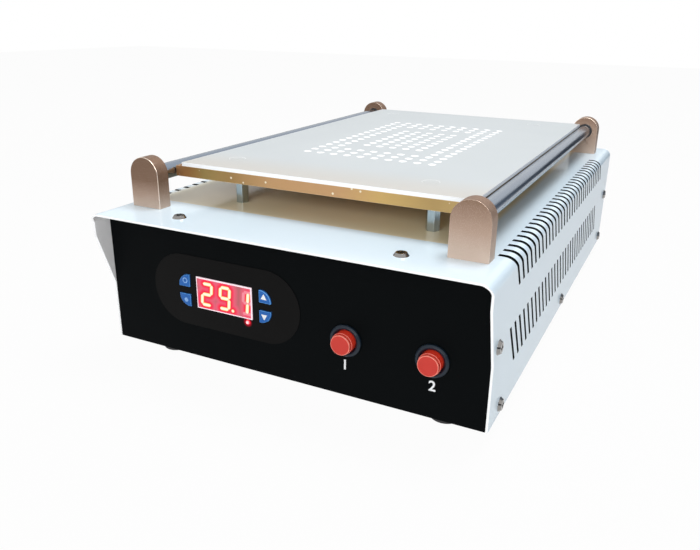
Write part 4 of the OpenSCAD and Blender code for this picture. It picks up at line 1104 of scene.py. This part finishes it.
# %% [markdown]
# The two buttons are numbered. A numeral could be drawn point by point, but the font
# that comes with Blender has a plain one, made bolder by an offset. Each sits a set
# distance below the middle of its button, and a hair to one side.

# %% Numerals under the buttons
panel_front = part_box("controller_overlay")[1].y
NUMERAL_SIZE = 7.9
NUMERAL_BOLD = 0.16
NUMERALS = {"1": ("left_button_cap", -0.44, 14.4), "2": ("right_button_cap", 0.5, 14.3)}
for numeral, (cap, aside, below) in NUMERALS.items():
    cap_low, cap_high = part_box(cap)
    button = (cap_low + cap_high) / 2
    text = bpy.data.curves.new("numeral_" + numeral, "FONT")
    text.body = numeral
    text.size = NUMERAL_SIZE * MM
    text.offset = NUMERAL_BOLD * MM
    text.extrude = PRINT_THICK
    text.align_x = "CENTER"
    text.align_y = "CENTER"
    text.materials.append(PRINT_WHITE)
    sign = placed("numeral_" + numeral, text)
    sign.location = (button.x + aside * MM, panel_front - PRINT_THICK - PRINT_GAP, button.z - below * MM)
    sign.rotation_euler = (math.radians(90), 0, 0)
    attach(sign, "case")
print("numerals:", len(NUMERALS))

# %% [markdown]
# At the back are the mains inlet and the mains switch, moulded in black. They could keep
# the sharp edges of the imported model, but a mould leaves rounder edges than a cut sheet
# has, and that tells the two apart.

# %% Inlet and switch
rounded("power_inlet", [SOCKET], "switch_black", width=0.4, segments=3)
rounded("rocker_housing", [SOCKET], "switch_black", width=0.3)
rounded("rocker", [ROCKER], "switch_black", width=0.4, segments=3)
rounded("inlet_screws", [NICKEL], "screw_steel", width=0.12)
print("inlet and switch made")

# %% [markdown]
# The switch has a line and a ring for on and off. Its two faces lean against each other,
# so a sign that is set upright would cut into them. The two largest faces of the packed
# rocker that look backwards give each sign its place and its directions instead.

# %% Signs on the rocker
flat_rocker = bmesh.new()
flat_rocker.from_mesh(nodes["rocker"].data)
JOIN = math.radians(1)
bmesh.ops.dissolve_limit(flat_rocker, angle_limit=JOIN, verts=flat_rocker.verts, edges=flat_rocker.edges)
LARGE = 50 * MM * MM
BACKWARD = 0.8
tops = [face for face in flat_rocker.faces if face.normal.y > BACKWARD and face.calc_area() > LARGE]
tops.sort(key=lambda face: face.calc_center_median().z)
BACK_RIGHT = Vector((-1, 0, 0))
STROKE = [(-0.35, -1.7), (0.35, -1.7), (0.35, 1.7), (-0.35, 1.7)]
ROCKER_SIGNS = [("off_mark", WIDE_RING, RING_HOLE), ("on_mark", STROKE, None)]
for (name, outline, hole), face in zip(ROCKER_SIGNS, tops):
    up = face.normal.cross(BACK_RIGHT)
    printed(name, outline, face.calc_center_median(), BACK_RIGHT, up, "rocker", PRINT_WHITE, hole)
print("rocker faces:", len(tops))
flat_rocker.free()

# %% [markdown]
# What is inside, or small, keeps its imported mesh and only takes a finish. Rounding it as
# well would cost time and triangles for edges that nobody sees.

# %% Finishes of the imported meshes
PLAIN_FINISHES = [
    (NICKEL, ("foot_screws", "post_screws", "pillar_screws")),
    (NYLON_BLACK, ("roller_bushes", "key_switches", "button_nuts")),
    (NYLON_WHITE, ("controller_spacers", "board_spacers")),
    (TURNED, ("plate_spacers", "button_springs")),
    (RUBBER, ("grommets", "pump_mounts")),
    (BOARD, ("controller_board", "power_board")),
    (STEEL_CAN, ("temperature_probe", "pump_motor")),
    (IVORY, ("vacuum_box",)),
    (HEATER, ("heater_mat",)),
    (FELT, ("insulation_felt",)),
    (HOSE, ("suction_hose",)),
    (LEADS, ("internal_leads",)),
    (WINDOW, ("display_face",)),
    (LIT_BAR, ("display_digits",)),
    (LENS, ("indicator_led",)),
    (PUMP, ("pump_head",)),
    (ZINC, ("pump_bracket",)),
    (CORE, ("transformer",)),
    (RELAY, ("relay",)),
    (TERMINAL, ("terminal_block",)),
    (BRASS, ("inlet_pins",)),
]
for finish, members in PLAIN_FINISHES:
    for member in members:
        materials = nodes[member].data.materials
        materials.clear()
        materials.append(finish)
print("plain finishes:", len(PLAIN_FINISHES))

# %% [markdown]
# The floor is a pale sheet that keeps the shadow of the machine. A pure white floor would
# lose it, and a grey one would spoil the picture. So camera rays and reflections see the
# sheet as almost white, with a small share of its real shading, and light that falls on
# it is sent back as from grey paper.

# %% Floor
FLOOR_HALF = 3.0
FLOOR_DARK = (0.54, 0.54, 0.54)
FLOOR_LIGHT = (0.58, 0.58, 0.58)
WHITE_SHARE = 0.96
floor_mesh = bpy.data.meshes.new("floor")
corners = [(x * FLOOR_HALF, y * FLOOR_HALF, 0) for x, y in ((-1, -1), (1, -1), (1, 1), (-1, 1))]
floor_mesh.from_pydata(corners, [], [(0, 1, 2, 3)])
floor = placed("floor", floor_mesh)


def seen_directly(graph):
    """1 for rays from the camera, a mirror or a glass, and 0 for light on a surface."""
    kinds = ("Camera", "Glossy", "Transmission")
    rays = [graph.node("LightPath", out="Is %s Ray" % kind) for kind in kinds]
    return rays[0].most(rays[1]).most(rays[2])


sheet = Finish("pale_floor", roughness=0.9)
sheet.give("Base Color", sheet.mix(sheet.noise(400), FLOOR_DARK, FLOOR_LIGHT))
white = sheet.node("Emission", sockets={"Color": (1, 1, 1), "Strength": 1.0})
paper = Term(sheet, sheet.shader.outputs[0])
both = sheet.node("MixShader", sockets={0: WHITE_SHARE * seen_directly(sheet), 1: paper, 2: white})
sheet.feed(sheet.tree.nodes["Material Output"].inputs["Surface"], both)
floor_mesh.materials.append(sheet.material)
print("floor:", 2 * FLOOR_HALF, "m wide")

# %% [markdown]
# The world is a plain white studio. At full strength it would light the case evenly from
# everywhere, so it is dimmer as light than as a background, and the lamps can shape the
# case.

# %% World
WORLD_LIGHT = 0.4
world = bpy.data.worlds.new("studio")
world.use_nodes = True
bpy.context.scene.world = world
sky = Graph(world.node_tree)
background = sky.tree.nodes["Background"]
sky.feed(background.inputs["Color"], (1, 1, 1))
sky.feed(background.inputs["Strength"], WORLD_LIGHT + (1 - WORLD_LIGHT) * seen_directly(sky))
print("world light:", WORLD_LIGHT)

# %% [markdown]
# Two soft boxes light the case, as in a small product studio: one high above the top
# and a wide, low one in front that reaches under the plate. Point lamps would do for the
# brightness, but only a large lamp gives soft shadows and broad highlights.


# %% Soft boxes
def soft_box(name, place, wide, high, watts):
    """A lamp that looks at the middle of the scene and is not seen itself."""
    data = bpy.data.lights.new(name, "AREA")
    data.shape = "RECTANGLE"
    data.size = wide
    data.size_y = high
    data.energy = watts
    box = placed(name, data)
    box.location = place
    box.rotation_euler = (-Vector(place)).to_track_quat("-Z", "Y").to_euler()
    box.visible_camera = False


soft_box("top_box", place=(0.25, 0.15, 1.4), wide=0.6, high=0.6, watts=12.5)
soft_box("front_box", place=(0.25, -1.3, 0.5), wide=1.0, high=0.5, watts=10)
print("soft boxes set")

# %% [markdown]
# Chrome in an all-white room looks like white plastic. A photographer stands dark flags
# round the scene for that. The first one here is a low band all round, seen only in
# reflections, which draws the dark line along the bars. The second one is a grey screen
# beside the rear end of the right side. It also takes some light off the paint there.


# %% Flags
def flag(name, foot, low, high, cloth, closed, dims):
    """A screen that stands on a line of points, in metres, and casts no shadow."""
    count = len(foot)
    places = [(x, y, z) for z in (low, high) for x, y in foot]
    starts = range(count if closed else count - 1)
    faces = [(i, (i + 1) % count, (i + 1) % count + count, i + count) for i in starts]
    mesh = bpy.data.meshes.new(name)
    mesh.from_pydata(places, [], faces)
    mesh.materials.append(cloth)
    screen = placed(name, mesh)
    screen.visible_camera = False
    screen.visible_diffuse = dims
    screen.visible_shadow = False


DARK_CLOTH = moulded("flag_cloth", (0.05, 0.06, 0.08), 0.9, grain=2.0, depth=0.2)
GREY_CLOTH = moulded("side_flag_cloth", (0.30, 0.36, 0.44), 0.9, grain=2.0, depth=0.2)
BAND = ring_of(0.8, 64)
SCREEN = [(0.42, 0.02), (0.30, 0.5)]
flag("flag", BAND, low=0.002, high=0.2, cloth=DARK_CLOTH, closed=True, dims=False)
flag("side_flag", SCREEN, low=0, high=0.3, cloth=GREY_CLOTH, closed=False, dims=True)
print("flags set")

# %% [markdown]
# The view is left plain, so that the tones above are the tones in the picture.

# %% Plain view
bpy.context.scene.view_settings.view_transform = "Standard"
